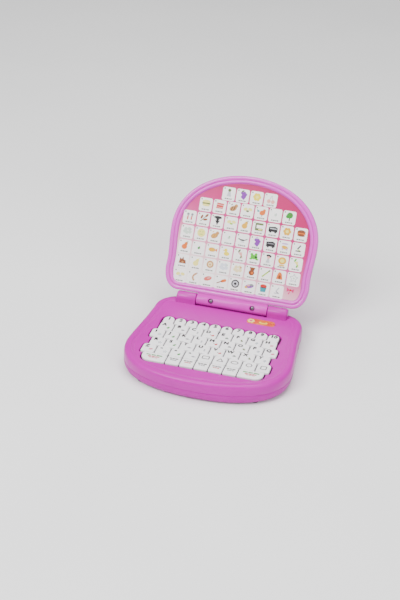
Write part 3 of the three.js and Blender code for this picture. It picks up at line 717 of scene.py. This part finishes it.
def make_battery_door():
    x, y, width, depth = node_rect("battery_door")
    front, back = y - depth / 2, y + depth / 2
    outline = key_outline(x, y, 2 * DOOR_HALF - 0.6, depth, 1, 1, 3)
    plate = swept(outline, [(0.5, 2), (0.15, 2.15), (0, 2.5), (0, 4)])
    tongue = box_shape(-width / 2, width / 2, front, back - 2, 3.2, 3.98)
    door = draft("battery_door_panel", [plate])
    cut(door, [tongue], "UNION")
    grips = [prism(key_outline(x, back - 8 + 2.6 * i, 18, 1.2, 0.59, 0.59, 4), 0, 2.6) for i in range(3)]
    arrow = prism([(-5, back - 12), (0, back - 17), (5, back - 12)][::-1], 0, 2.3)
    cut(door, grips + [arrow])
    eased(door, 0.15, 1, 60)
    finished(door, BASE, "battery_door", "case", ["battery_door"])


def make_feet():
    for index in range(1, 5):
        x, y, width, _ = node_rect(f"foot_{index}")
        radius = width / 2
        foot = turned([
            (0, 0.25), (1.6, 0.25), (1.9, 0), (radius - 1.4, 0), (radius - 0.5, 0.25), (radius, 0.9),
            (radius, 2.6), (0, 2.6),
        ], 40)
        piece(f"rubber_foot_{index}", *moved(foot, Matrix.Translation((x, y, 0))), BASE, "base", "foot",
              "foot_rubber", [f"foot_{index}"])


# ---------- keys ----------
def cap_shape(outline, low):
    """A key cap: straight skirt, soft edge and a flat top."""
    return swept(outline, [
        (0.15, low), (0, low + 0.4), (0, KEY_TOP - 0.9), (0.1, KEY_TOP - 0.5), (0.35, KEY_TOP - 0.2),
        (0.7, KEY_TOP - 0.05), (1.1, KEY_TOP),
    ])


def make_keys():
    caps = [cap_shape(key_outline(x, y, width, CAP_DEPTH), 26.1) for x, y, width in letter_keys()]
    piece("letter_key_caps", *merged(caps), BASE, "base", "cap", "key_mat_white", ["letter_key_mat"])
    webs = []
    # The web under the slits is coloured dark as painted shade between the caps.
    for count, pitch, y in LETTER_ROWS:
        outline = key_outline(0, y, count * pitch - SLIT - 1, ROW_PITCH - 0.02, 4, 3)
        webs.append(prism(outline, 25.4, 26.2))
    piece("letter_key_web", *merged(webs), BASE, "base", "web", "key_mat_white")
    for index, rect in enumerate(number_rects, 1):
        make_rigid_key("number_key", index, number_outline(rect), rect)
    for index, rect in enumerate(function_rects, 1):
        make_rigid_key("function_key", index, function_outline(index - 1), rect)


def make_rigid_key(kind, index, outline, rect):
    """A cap on a round stem with a foot that holds it under the well floor."""
    stem = turned([
        (0, 22.7), (3.2, 22.7), (3.4, 22.9), (3.3, 23.3), (2.1, 23.4), (2.1, 27.5), (0, 27.5),
    ], 20)
    placed = moved(stem, Matrix.Translation((rect[0], rect[1], 0)))
    node = f"{kind}_{index}"
    piece(f"{kind}_cap_{index}", *merged([cap_shape(outline, 26.8), placed]), BASE, node, "cap",
          "key_white", [node])


# ---------- printing ----------
class Print:
    """Flat printed shapes, gathered by ink so that each ink is one piece."""

    def __init__(self, name, place, body, slot, height):
        self.name, self.place, self.body, self.slot, self.height = name, place, body, slot, height
        self.inks, self.layer = {}, 0
        self.origin, self.scale = (0, 0), 1.0

    def at(self, x, y, scale=1):
        self.origin, self.scale, self.layer = (x, y), scale, 0
        return self

    def shape(self, ink, points):
        x0, y0 = self.origin
        placed = [(x0 + x * self.scale, y0 + y * self.scale) for x, y in points]
        area = sum(a[0] * b[1] - b[0] * a[1] for a, b in zip(placed, placed[1:] + placed[:1]))
        if area < 0:
            placed.reverse()
        self.layer += 1
        low = self.height - 0.02
        top = self.height + 0.03 + 0.012 * self.layer
        self.inks.setdefault(ink, []).append(prism(placed, low, top))
        return self

    def dot(self, ink, x, y, rx, ry=None, turn=0):
        return self.shape(ink, ellipse(x, y, rx, ry or rx, turn))

    def bar(self, ink, x0, y0, x1, y1, width):
        dx, dy = x1 - x0, y1 - y0
        length = math.hypot(dx, dy)
        nx, ny = -dy / length * width / 2, dx / length * width / 2
        corners = [(x0 - nx, y0 - ny), (x1 - nx, y1 - ny), (x1 + nx, y1 + ny), (x0 + nx, y0 + ny)]
        return self.shape(ink, corners)

    def ring(self, ink, points, width):
        """A closed line along an outline, as a chain of short bars."""
        for (x0, y0), (x1, y1) in zip(points, points[1:] + points[:1]):
            self.bar(ink, x0, y0, x1, y1, width)
            self.layer -= 1
        self.layer += 1
        return self

    def done(self):
        for ink, shapes in self.inks.items():
            key = "ink_" + ink
            ink_material(ink)
            piece(f"{self.name}_{ink}", *merged(shapes), self.place, self.body, key, self.slot)


GLYPH_COPIES, GLYPH_WEIGHT = 6, 0.6  # each copy is shifted by the weight in its own direction


def glyph_shapes(text, size, x, y, height):
    """A character of the built-in font as thin solids, centred at x, y; shifted copies make it bold."""
    curve = bpy.data.curves.new("glyph", "FONT")
    curve.body = text
    curve.size = size
    curve.align_x, curve.align_y = "CENTER", "CENTER"
    curve.extrude = 0.02
    curve.resolution_u = 2
    obj = linked(bpy.data.objects.new("glyph", curve))
    mesh = bpy.data.meshes.new_from_object(obj.evaluated_get(bpy.context.evaluated_depsgraph_get()))
    faces = [tuple(p.vertices) for p in mesh.polygons]
    copies = []
    for i, (dx, dy) in enumerate(ellipse(x, y, GLYPH_WEIGHT, GLYPH_WEIGHT, 0, GLYPH_COPIES)):
        shift = Vector((dx, dy, height + 0.004 * i))
        copies.append(([v.co + shift for v in mesh.vertices], faces))
    bpy.data.objects.remove(obj)
    bpy.data.curves.remove(curve)
    return merged(copies)


LETTERS = "ABCDEFGHIJKLMNOPQRSTUVWXYZ"
# Inks that the small pictures on the letter keys take in turn.
PICTURE_INKS = ["green", "grey", "silver", "red", "grey", "olive", "silver", "pink", "teal"]
LETTER_SIZE, DIGIT_SIZE = 8.6, 9.8
LEGEND_SHIFT = 0.17  # of a key's width, to the left
PICTURE_KEYS = 29  # the letter keys before the five with plane figures


def make_letter_legends():
    """Letters, small pictures and plane figures on the letter keys."""
    keys = letter_keys()
    marks = [glyph_shapes(letter, LETTER_SIZE, x - width * LEGEND_SHIFT, y + 3.6, KEY_TOP)
             for letter, (x, y, width) in zip(LETTERS, keys)]
    ink_material("ink")
    piece("letter_key_legends", *merged(marks), BASE, "base", "ink_ink", "key_mat_white")
    art = Print("letter_key_print", BASE, "base", "key_mat_white", KEY_TOP)
    for i, (x, y, width) in enumerate(keys[:PICTURE_KEYS]):
        first, second = PICTURE_INKS[i % 9], PICTURE_INKS[(i * 4 + 2) % 9]
        art.at(x + width * 0.2, y - 3.6, 0.66)
        KEY_PICTURES[i % len(KEY_PICTURES)](art, first, second)
    for outline, (x, y, _) in zip(shape_outlines(), keys[PICTURE_KEYS:]):
        art.at(x, y + 0.2).ring("caption", outline, 1.3)
    for x, y, width in keys[len(LETTERS):PICTURE_KEYS]:
        art.at(x - width * LEGEND_SHIFT, y + 3.9, 0.75)
        art.dot("ink", 0, 0, 2.4, 1.8).bar("ink", -2.4, -1.4, 2.4, -1.4, 1)
    art.done()


def make_rigid_key_legends():
    """Digits on the number keys and lines of plain marks on the function keys."""
    for i, (x, y, _, depth) in enumerate(number_rects, 1):
        digit = glyph_shapes(str(i), DIGIT_SIZE, x, y + depth * 0.14, KEY_TOP)
        piece(f"number_key_legend_{i}", *digit, BASE, f"number_key_{i}", "ink_ink", "key_white")
    for i, (x, y, width, _) in enumerate(function_rects, 1):
        mark = Print(f"function_key_print_{i}", BASE, f"function_key_{i}", "key_white", KEY_TOP)
        wide = i in (1, len(function_rects))
        mark.at(x, y)
        mark_line(mark, "green" if wide else "caption", width * 0.33, 3.8, 2.3)
        mark_line(mark, "red" if wide or i % 2 else "grey", width * 0.24, 0.2, 1.9)
        if wide:
            mark_line(mark, "pink", width * 0.18, -2.6, 1.4)
        mark.done()


def mark_line(mark, ink, half, y, height):
    """A line of plain marks the size of small words."""
    for start, end in ((-1, -0.45), (-0.35, 0.2), (0.3, 1)):
        mark.bar(ink, start * half, y, end * half, y, height)


def shape_outlines():
    """The plane figures on the last five keys of the fourth letter row."""
    rectangle = [(-4.6, -3.2), (4.6, -3.2), (4.6, 3.2), (-4.6, 3.2)]
    triangle = [(-4.2, -3.2), (4.2, -3.2), (0, 3.6)]
    square = [(-3.7, -3.7), (3.7, -3.7), (3.7, 3.7), (-3.7, 3.7)]
    return [rectangle, triangle, ellipse(0, 0, 4.8, 3.2), ellipse(0, 0, 3.8, 3.8), square]


# Small pictures, each drawn within about 4.5 mm of its centre in a main ink and a second one.
def sprig(p, a, b):
    p.bar(b, -3, -3.4, 2.4, 2.6, 0.8).dot(a, -2.2, 1.2, 2.3, 1.1, 70).dot(a, 1.8, -1.2, 2.3, 1.1, 15)
    p.dot(a, 2.8, 3, 2.2, 1.1, 50)


def flower(p, a, b):
    for i in range(6):
        p.dot(a, 2.5 * math.cos(i * math.pi / 3), 2.5 * math.sin(i * math.pi / 3), 1.7)
    p.dot(b, 0, 0, 1.6)


def cherries(p, a, b):
    p.bar(b, -2, -1.6, 0.6, 3.8, 0.6).bar(b, 2, -1.8, 0.6, 3.8, 0.6)
    p.dot(a, -2, -2.2, 2).dot(a, 2.2, -2.4, 2)


def stack(p, a, b):
    p.dot(a, 0, 1.6, 4.2, 2.2).bar(b, -4.3, 0.1, 4.3, 0.1, 1.5).dot(a, 0, -1.6, 4, 1.3)


def drum(p, a, b):
    p.shape(a, [(-3.8, -3), (3.2, -3), (4, 2.4), (-3.2, 2.8)]).bar(b, -3.2, 1, 3.6, 0.7, 1.1)
    p.bar(b, -3.6, -1.7, 3.2, -1.7, 0.7)


def bird(p, a, b):
    p.dot(a, 0.8, -0.6, 3.1, 2.5, 15).dot(a, 2.6, 1.9, 1.5)
    p.shape(b, [(-1.6, 0.6), (-5.2, 2.6), (-4.4, -0.4)]).bar(b, 0.6, -2.8, 0.6, -4.4, 0.6)


def tree(p, a, b):
    p.bar(b, 0, -4.4, 0, 0, 1.2).dot(a, 0, 1.2, 3.2, 3.1).dot(a, -2.2, -0.2, 1.7).dot(b, 0.8, 1.8, 1.1, 0.7)


def hat_figure(p, a, b):
    p.dot(a, 0, 3, 4.2, 1.5).dot(b, 0, 1, 1.7, 1.3).shape(a, [(-2.4, -0.2), (2.4, -0.2), (1, -3), (-1, -3)])
    p.bar(a, 0, -2, 0, -4.4, 1.3)


def figure(p, a, b):
    p.dot(b, 0, 2.6, 1.6).shape(a, [(-2.4, -3.8), (2.4, -3.8), (1.2, 1.2), (-1.2, 1.2)])


def pair(p, a, b):
    for side in (-1, 1):
        p.bar(b, side * 2 - 0.4, -3.8, side * 2, 0.4, 1.3).dot(a, side * 2.1, 1.8, 1.3)


def leaves(p, a, b):
    p.dot(a, -2.4, 0.6, 2.2, 1.6, 20).dot(a, 2.4, 0.8, 2.2, 1.5, -15).dot(b, 0, -1.2, 1.6, 1)


def pear(p, a, b):
    p.dot(a, -0.6, -1.4, 2.9, 2.7).dot(a, 0.7, 1.4, 1.7, 2.2, -20).bar(b, 1.4, 2.6, 2.6, 4.4, 0.7)


def wood(p, a, b):
    p.bar(a, -4, 3, 4, 3, 2).bar(a, -4, -2.6, 4, -2.6, 2.4)
    p.bar(a, -3.4, -2, -3.4, 3, 1.4).dot(b, 1.4, -2.4, 2.2, 0.8)


def engine(p, a, b):
    p.shape(a, [(-4.6, -2.6), (4.6, -2.6), (4.6, 1.6), (2, 2.8), (-4.6, 2)])
    p.bar(b, -3.2, 0.5, 3.4, 0.5, 0.9).dot(a, -2.6, -2.6, 1.2).dot(a, 2.6, -2.6, 1.2)


def round_face(p, a, b):
    p.dot(a, 0, 0, 4.3).dot(b, -1.5, 1.2, 0.6).dot(b, 1.5, 1.2, 0.6).bar(b, -1.6, -1.6, 1.8, -1.4, 0.6)


def striped(p, a, b):
    p.dot(a, -0.6, -0.8, 3.8, 2.6, 25).dot(a, 2.2, 2.2, 1.8).bar(b, -2.6, -3, -1.2, 1, 0.7)
    p.bar(b, 0, -2.6, 1.2, 1.6, 0.7).bar(b, -3.2, 2.4, -1.6, 3.6, 0.8)


def speck(p, a, b):
    p.dot(a, 0, -0.6, 1.3).dot(b, 0.6, 0.6, 0.7)


def swoop(p, a, b):
    p.bar(a, -4.6, 0.6, -2, -0.6, 1.1).bar(a, -2.2, -0.6, 1.4, -0.8, 1.6).bar(a, 1.2, -0.8, 4.8, 0.8, 0.9)
    p.dot(b, 0, -2.6, 2.2, 0.5)


def grapes(p, a, b):
    for x, y in ((-1.2, 1.8), (1.2, 2), (2.6, 0.6), (0.2, 0), (1.8, -1.4), (-0.6, -2), (0.8, -3.2)):
        p.dot(a, x, y, 1.5)
    p.dot(b, -0.6, 3.8, 1.5, 0.7, 30)


def wagon(p, a, b):
    p.dot(b, 0, 2.6, 3.4, 0.8).dot(a, 0.4, -1.2, 3.4, 1.8, -12).dot(b, -1.8, -2.8, 1).dot(b, 2.4, -2.8, 1)


def hook(p, a, b):
    p.bar(a, 1.6, 3.4, -1.2, -0.6, 1.3).bar(a, -3, -2.6, 2.4, -2.6, 1.1).bar(b, -1.2, -0.8, 1.6, -2.2, 0.9)


def fish(p, a, b):
    p.dot(a, -0.6, 0, 3.6, 2.2).shape(b, [(2.2, 0), (4.8, 2), (4.8, -1.8)]).dot(b, -2.2, 0.6, 0.5)


def duck(p, a, b):
    p.dot(a, 0.4, -1.8, 2.9, 2.1).dot(a, -0.8, 1.6, 1.7).bar(b, -2.2, 1.4, -3.6, 1.2, 0.9)


def frog(p, a, b):
    p.dot(a, 0, -0.6, 3.8, 2.2).dot(a, -2.6, 1.8, 1.5).dot(a, 1.6, 2.2, 1.5).dot(b, 1.8, -0.4, 1.1)
    p.dot(a, -3.2, -2.6, 1.6, 0.9).dot(a, 3.2, -2.6, 1.6, 0.9)


def child(p, a, b):
    p.dot(b, 0.4, 3, 2.8, 1.5, -10).dot("blush", 0.2, 1.4, 1.6, 1.3)
    p.shape(a, [(-2, -4), (2, -4), (1, 0.2), (-1, 0.2)])


def mane(p, a, b):
    p.dot(a, 0, 0.4, 4.2, 3.7).dot(b, 0, 0.4, 2.3, 2).bar(a, -2.6, -4.4, 2.8, -4.4, 1.4)


def carrot(p, a, b):
    p.shape(a, [(-2.4, 1.6), (1.4, 2.2), (3, -4.4)])
    p.dot(b, -1.4, 3.2, 1.9, 0.9, 60).dot(b, 1, -2.8, 1.6, 0.8, 70)


def castle(p, a, b):
    p.shape(a, [(-3.8, -3.6), (4, -3.6), (3, 0.2), (1.2, 0.4), (0.4, 3.6), (-1, 0.8), (-2.8, 2.2)])
    p.dot(b, 0.2, -2.2, 1.2, 0.9)


def hoop(p, a, b):
    p.dot(a, 0, 0, 3.7).dot(b, 0, 0, 2.3).dot(a, 0, -0.3, 0.9)


def puff(p, a, b):
    for x, y in ((-2, 1.6), (1.6, 2), (2.6, -1), (-0.6, -1.8), (-2.8, -0.8)):
        p.dot(a, x, y, 1.8)
    p.dot(b, 3, 1.8, 1)


def bear(p, a, b):
    p.dot(a, 0, -1.4, 3, 2.8).dot(a, 0.4, 2, 2.2)
    p.dot(a, -1.6, 3.4, 0.9).dot(a, 2.4, 3.2, 0.9).dot(b, 0.6, -1.6, 1.2)


def pencil(p, a, b):
    p.bar(a, -3.4, -3.6, 3.6, 3.4, 1.4).bar(b, 2.6, 2.4, 4.2, 4, 1.4)


def bushy(p, a, b):
    p.shape(a, [(-3.4, -3.4), (3.4, -3.4), (1.8, 2.6), (-0.4, 4.2), (-2.2, 2.4)]).dot(b, 0, -1.2, 1.2, 1.9)


def star(p, a, b):
    points = []
    for i in range(10):
        reach = 4.3 if i % 2 == 0 else 2.2
        turn = math.pi * (0.5 + i / 5)
        points.append((reach * math.cos(turn), reach * math.sin(turn)))
    p.ring(a, points, 0.7).dot(b, 0, 0, 1)


def crescent(p, a, b):
    turns = [(2.8, 4), (0.4, 2.6), (-1.2, 0.2), (-0.8, -2.2), (0.6, -3.8)]
    for start, end in zip(turns, turns[1:]):
        p.bar(a, *start, *end, 1.7)
    p.dot(b, 3, 4, 0.8)


def oval(p, a, b):
    p.dot(a, 0, 0.6, 4.2, 2.2, 20).dot(b, 0.8, 1.2, 1.8, 0.7, 20)


def fiddle(p, a, b):
    p.dot(a, 1.8, 0.8, 3, 1.5, 25).dot(a, 3.4, 1.4, 1.5).bar(b, 0.4, 0.2, -4.8, -2.4, 1)


def wheel(p, a, b):
    p.dot(a, 0, 0, 4.2).dot(b, 0, 0, 2.9).dot(a, 0, 0, 1.4)


def plane(p, a, b):
    p.dot(a, 0.4, 0, 4.4, 1.9, 12).dot(b, 2.2, 1.2, 2.2, 1.2)
    p.dot("gold", -3.2, -1.6, 1.5, 1).dot("blush", -0.8, 0.4, 1.6, 0.8)


def tub(p, a, b):
    p.shape(a, [(-2.6, -3.6), (2.6, -3.6), (3.4, 1.6), (-3.4, 1.6)])
    p.dot(b, 0, 2.4, 3.4, 1.9).bar("ink", -3, 0.8, 3, 0.8, 0.6)


def bow(p, a, b):
    p.shape(a, [(0, 0), (-4.6, 2.9), (-4.2, -2.5)]).shape(a, [(0, 0), (4.6, 2.1), (3.8, -3)])
    p.shape(a, [(0, 0), (-2.6, -4.8), (-0.8, -5)]).dot(b, 0, 0, 1.3)


# Pictures that the letter keys take in turn, then the card's own, with a main and a second ink.
KEY_PICTURES = [pear, fish, figure, bird, castle, duck, tree, oval, star]
CARD_ROWS = [
    [(figure, "silver olive"), (grapes, "purple olive"), (flower, "yellow straw"),
     (cherries, "blush silver")],
    [(stack, "straw olive"), (drum, "red blush"), (striped, "tan ink"), (leaves, "straw olive"),
     (bird, "orange teal"), (speck, "mist silver"), (tree, "green olive")],
    [(pair, "grey red"), (sprig, "brown olive"), (hat_figure, "ink ink"), (leaves, "straw lime"),
     (pear, "gold olive"), (wood, "olive straw"), (engine, "ink silver"), (flower, "gold straw"),
     (stack, "brown orange")],
    [(puff, "mist silver"), (round_face, "straw lime"), (striped, "tan gold"), (speck, "mist green"),
     (swoop, "ink silver"), (grapes, "purple lilac"), (engine, "ink grey"), (wagon, "gold lilac"),
     (hook, "ink lime")],
    [(pear, "orange green"), (speck, "green ink"), (fish, "gold orange"), (duck, "yellow gold"),
     (carrot, "blush olive"), (frog, "leaf ink"), (child, "silver ink"), (mane, "gold straw"),
     (carrot, "straw leaf")],
    [(castle, "brown tan"), (pear, "straw straw"), (hoop, "tan cream"), (puff, "white mist"),
     (puff, "cream tan"), (bear, "brown orange"), (pencil, "lime olive"), (bushy, "orange brown"),
     (star, "silver mist")],
    [(leaves, "straw silver"), (crescent, "tan silver"), (oval, "coral blush"), (fiddle, "orange brown"),
     (wheel, "ink silver"), (plane, "purple grey"), (tub, "teal red"), (hook, "silver grey")],
]


# ---------- lid ----------
LID_RIM = 10.8
LID_MIDDLE = 92.0
BARREL_RADIUS, BARREL_HALF, SCREW_X = 7.5, 51.6, 30.3


def make_lid_front():
    """The rim: an outer band, a fine groove, an inner bead and the seat that the card lies in."""
    profile = [
        (2.2, 0.15), (0, 0.15), (0, 1.6), (0.25, 2.7), (0.9, 3.5), (2, 3.95), (3.2, 4), (4.5, 3.85),
        (5.2, 3.5), (5.6, 2.7), (5.9, 2.3), (6.2, 2.7), (6.6, 3.4), (7.3, 3.9), (8.2, 4), (9.2, 3.75),
        (10, 3.1), (10.5, 2.2), (10.8, 1.2), (10.9, 0.5), (11.2, 0.34), (16, 0.3),
    ]
    rim = swept(lid_outline(), profile)
    piece("lid_front_rim", *rim, LID, "lid", "rim", "lid_pink", ["lid_front_shell"])


def make_lid_back():
    """The back cover: a shallow crowned shell with a soft shoulder and a fine parting step."""
    outline = lid_outline()
    profile = [
        (2.2, -0.15), (0.35, -0.15), (0.35, -0.6), (0, -0.75), (0, -4.2), (0.3, -5.9), (1.1, -7.3),
        (2.4, -8.2), (4.5, -8.7), (8, -8.82),
    ]
    rings = [(inset(outline, distance), height) for distance, height in profile]
    crown = [
        (0.86, -8.85), (0.8, -8.86), (0.79, -8.4), (0.78, -8.3), (0.77, -8.4), (0.76, -8.86), (0.5, -9),
    ]
    rings += [(scaled(outline, (0, LID_MIDDLE), factor), height) for factor, height in crown]
    back = draft("lid_back_cover", [lofted(rings)])
    screws = [node_in_lid(f"lid_screw_{i}") for i in range(1, 5)]
    cut(back, [prism(ellipse(x, y, 3.2, 3.2, 0, 32), -12, -7.2) for x, y in screws])
    finished(back, LID, "lid", "lid_back", ["lid_back_shell"])


def node_in_lid(node):
    low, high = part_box(node)
    centre = LID.inverted() @ ((low + high) / 2)
    return centre.x, centre.y


def make_barrel():
    """The lid's hinge barrel, joined to the lid by a web, with sunk seats for two screws."""
    barrel = draft("lid_hinge_barrel", [rod_shape(BARREL_HALF, BARREL_RADIUS)])
    web = box_shape(-BARREL_HALF + 0.3, BARREL_HALF - 0.3, 0, LID_BOTTOM + 1, -BARREL_RADIUS + 0.2, 2.6)
    cut(barrel, [web], "UNION")
    cut(barrel, [prism(ellipse(sign * SCREW_X, 0, 3.9, 3.9, 0, 36), 3.6, 9) for sign in (-1, 1)])
    eased(barrel, 0.3, 2, 50)
    finished(barrel, LID, "lid", "barrel")


def screw_shape(head, shank, length):
    """A pan head screw, head up at height 0, with a cross recess cut later."""
    return turned([
        (0, -length), (shank * 0.35, -length + 0.6), (shank, -length + 2), (shank, -1.6), (head, -1.6),
        (head, -0.7), (head * 0.82, -0.25), (head * 0.5, 0), (0, 0.05),
    ], 32)


def make_screw(name, place, body, node, head, shank, length):
    screw = draft(name, [screw_shape(head, shank, length)])
    arm, half = head * 0.62, head * 0.13
    cut(screw, [box_shape(-arm, arm, -half, half, -0.9, 1), box_shape(-half, half, -arm, arm, -0.95, 1)])
    finished(screw, place, body, "screw", [node])


def make_screws():
    for side, sign in (("left", -1), ("right", 1)):
        turn = Matrix.Rotation(math.radians(27 + 20 * sign), 4, "Z")
        place = LID @ Matrix.Translation((sign * SCREW_X, 0, 6.4)) @ turn
        make_screw(f"hinge_screw_{side}_head", place, "lid", f"hinge_screw_{side}", 2.9, 1.1, 9.5)
    for i in range(1, 5):
        x, y = node_in_lid(f"lid_screw_{i}")
        place = LID @ Matrix.Translation((x, y, -8.5)) @ Matrix.Rotation(math.pi, 4, "X")
        make_screw(f"lid_back_screw_{i}", place, "lid", f"lid_screw_{i}", 2.8, 1.1, 6)
    for i, (x, y) in enumerate(CASE_SCREWS, 1):
        place = BASE @ Matrix.Translation((x, y, 6.5)) @ Matrix.Rotation(math.pi, 4, "X")
        make_screw(f"underside_screw_{i}", place, "base", f"case_screw_{i}", 2.9, 1.3, 11)


# ---------- picture card ----------
CARD_FACE = 0.7
TILE_GAP_X, TILE_GAP_Y = 20.36, 21.19
TILE_WIDTH, TILE_HEIGHT = 18.5, 19.4
TILE_LOW_ROW = 28.9  # height up the lid of the last row's middle
TOP_ROW_DROP, GRID_OFFSET = 1.1, -1.0  # the first row sits low, and the whole grid a little left


def make_card():
    profile = [(0, 0.4), (0, CARD_FACE - 0.05), (0.1, CARD_FACE)]
    outline = inset(lid_outline(), LID_RIM + 0.7)
    piece("picture_card_sheet", *swept(outline, profile), LID, "lid", "ground", "card_print",
          ["picture_card"])
    tiles = []
    for x, y, _, _ in tile_places():
        outline = key_outline(x, y, TILE_WIDTH, TILE_HEIGHT, 2.6, 2.6, 5)
        steps = [(0, CARD_FACE - 0.05), (0, CARD_FACE + 0.05), (0.12, CARD_FACE + 0.09)]
        tiles.append(swept(outline, steps))
    piece("picture_card_tiles", *merged(tiles), LID, "lid", "tile", "card_print")
    art = Print("picture_card_art", LID, "lid", "card_print", CARD_FACE + 0.09)
    for x, y, icon, inks in tile_places():
        art.at(x + 0.4, y + 1.6, 1.4)
        icon(art, *inks.split())
        art.at(x, y)
        for start, end in ((-5, -2.8), (-2.2, 0.4), (1, 2.4), (3, 5.4)):
            art.bar("caption", start, -7, end, -7, 1.6)
        art.bar("caption", -7.6, 7.4, -6, 7.4, 1.8)
    art.at(4 * TILE_GAP_X - 2.5, TILE_LOW_ROW + 5.5, 1.2)
    bow(art, "pink", "red")
    art.done()


def tile_places():
    """Each tile's middle, with its picture and inks."""
    last = len(CARD_ROWS) - 1
    for row, tiles in enumerate(CARD_ROWS):
        y = TILE_LOW_ROW + (last - row) * TILE_GAP_Y - (TOP_ROW_DROP if row == 0 else 0)
        places = len(tiles) + (1 if row == last else 0)
        for i, (icon, inks) in enumerate(tiles):
            yield (i - (places - 1) / 2) * TILE_GAP_X + GRID_OFFSET, y, icon, inks


def make_label():
    """The deck label: a warm wash with a pale flower at its left end and a few plain marks."""
    x, y, width, depth = node_rect("deck_label")
    outline = key_outline(x, y, width, depth, depth * 0.46, depth * 0.3, 6)
    piece("deck_label_sticker",
          *swept(outline, [(0, PANEL_TOP), (0, PANEL_TOP + 0.12), (0.1, PANEL_TOP + 0.16)]),
          BASE, "base", "sticker", "label_orange", ["deck_label"])
    art = Print("deck_label_art", BASE, "base", "label_orange", PANEL_TOP + 0.16)
    art.at(x - width * 0.36, y, 1.25)
    flower(art, "straw", "pink")
    art.at(x + width * 0.08, y)
    art.dot("yellow", 0, -0.5, width * 0.16, depth * 0.22).dot("orange", 0, 0.8, width * 0.1, depth * 0.12)
    for i in range(5):
        art.dot("red", width * (0.2 + 0.055 * i), -1.2 + 1.6 * (i % 2), 0.9, 1.5, 20 * i)
    art.done()


make_deck()
make_bottom_shell()
make_label()
make_battery_door()
make_feet()
make_keys()
make_letter_legends()
make_rigid_key_legends()
make_lid_front()
make_lid_back()
make_barrel()
make_screws()
make_card()


# ---------- carried-over CAD nodes ----------
CAD_FINISHES = {
    "circuit_board": "board", "sound_chip": "epoxy", "speaker_frame": "speaker", "speaker_cone": "cone",
    "speaker_magnet": "magnet", "number_dome_strip": "silicone", "function_dome_strip": "silicone",
    "battery_1": "cell", "battery_2": "cell", "battery_3": "cell",
}
for node_name, node in frame["nodes"].items():
    if not node.hide_render:
        node.data.materials.clear()
        node.data.materials.append(materials[CAD_FINISHES.get(node_name, "spring")])


# ---------- floor and light ----------
def make_stage():
    mesh = bpy.data.meshes.new("floor")
    mesh.from_pydata([(-6, -6, 0), (6, -6, 0), (6, 6, 0), (-6, 6, 0)], [], [(0, 1, 2, 3)])
    floor = linked(bpy.data.objects.new("floor", mesh))
    made = Shader("floor_paper", 0.85)
    made.color(made.ramp(made.noise(3, 2), [(0.3, (0.86, 0.86, 0.865)), (0.7, (0.9, 0.9, 0.9))]))
    mesh.materials.append(made.material)


LIGHT_AIM = Vector((0, 0, 0.05))


def make_light(name, place, size, power):
    data = bpy.data.lights.new(name, "AREA")
    data.shape = "DISK"
    data.size = size
    data.energy = power
    light = linked(bpy.data.objects.new(name, data))
    light.location = place
    light.rotation_mode = "QUATERNION"
    light.rotation_quaternion = (LIGHT_AIM - Vector(place)).to_track_quat("-Z", "Y")


make_stage()
make_light("key_light", (-0.9, -1.3, 1.8), 1.3, 62)
make_light("top_light", (0.1, 0.2, 2.3), 1.6, 48)
make_light("fill_light", (1.5, -1.1, 1.2), 1.4, 22)
world = bpy.data.worlds.new("studio")
world.use_nodes = True
set_inputs(world.node_tree.nodes["Background"], {"Color": (1, 1, 1, 1), "Strength": 0.4})
bpy.context.scene.world = world
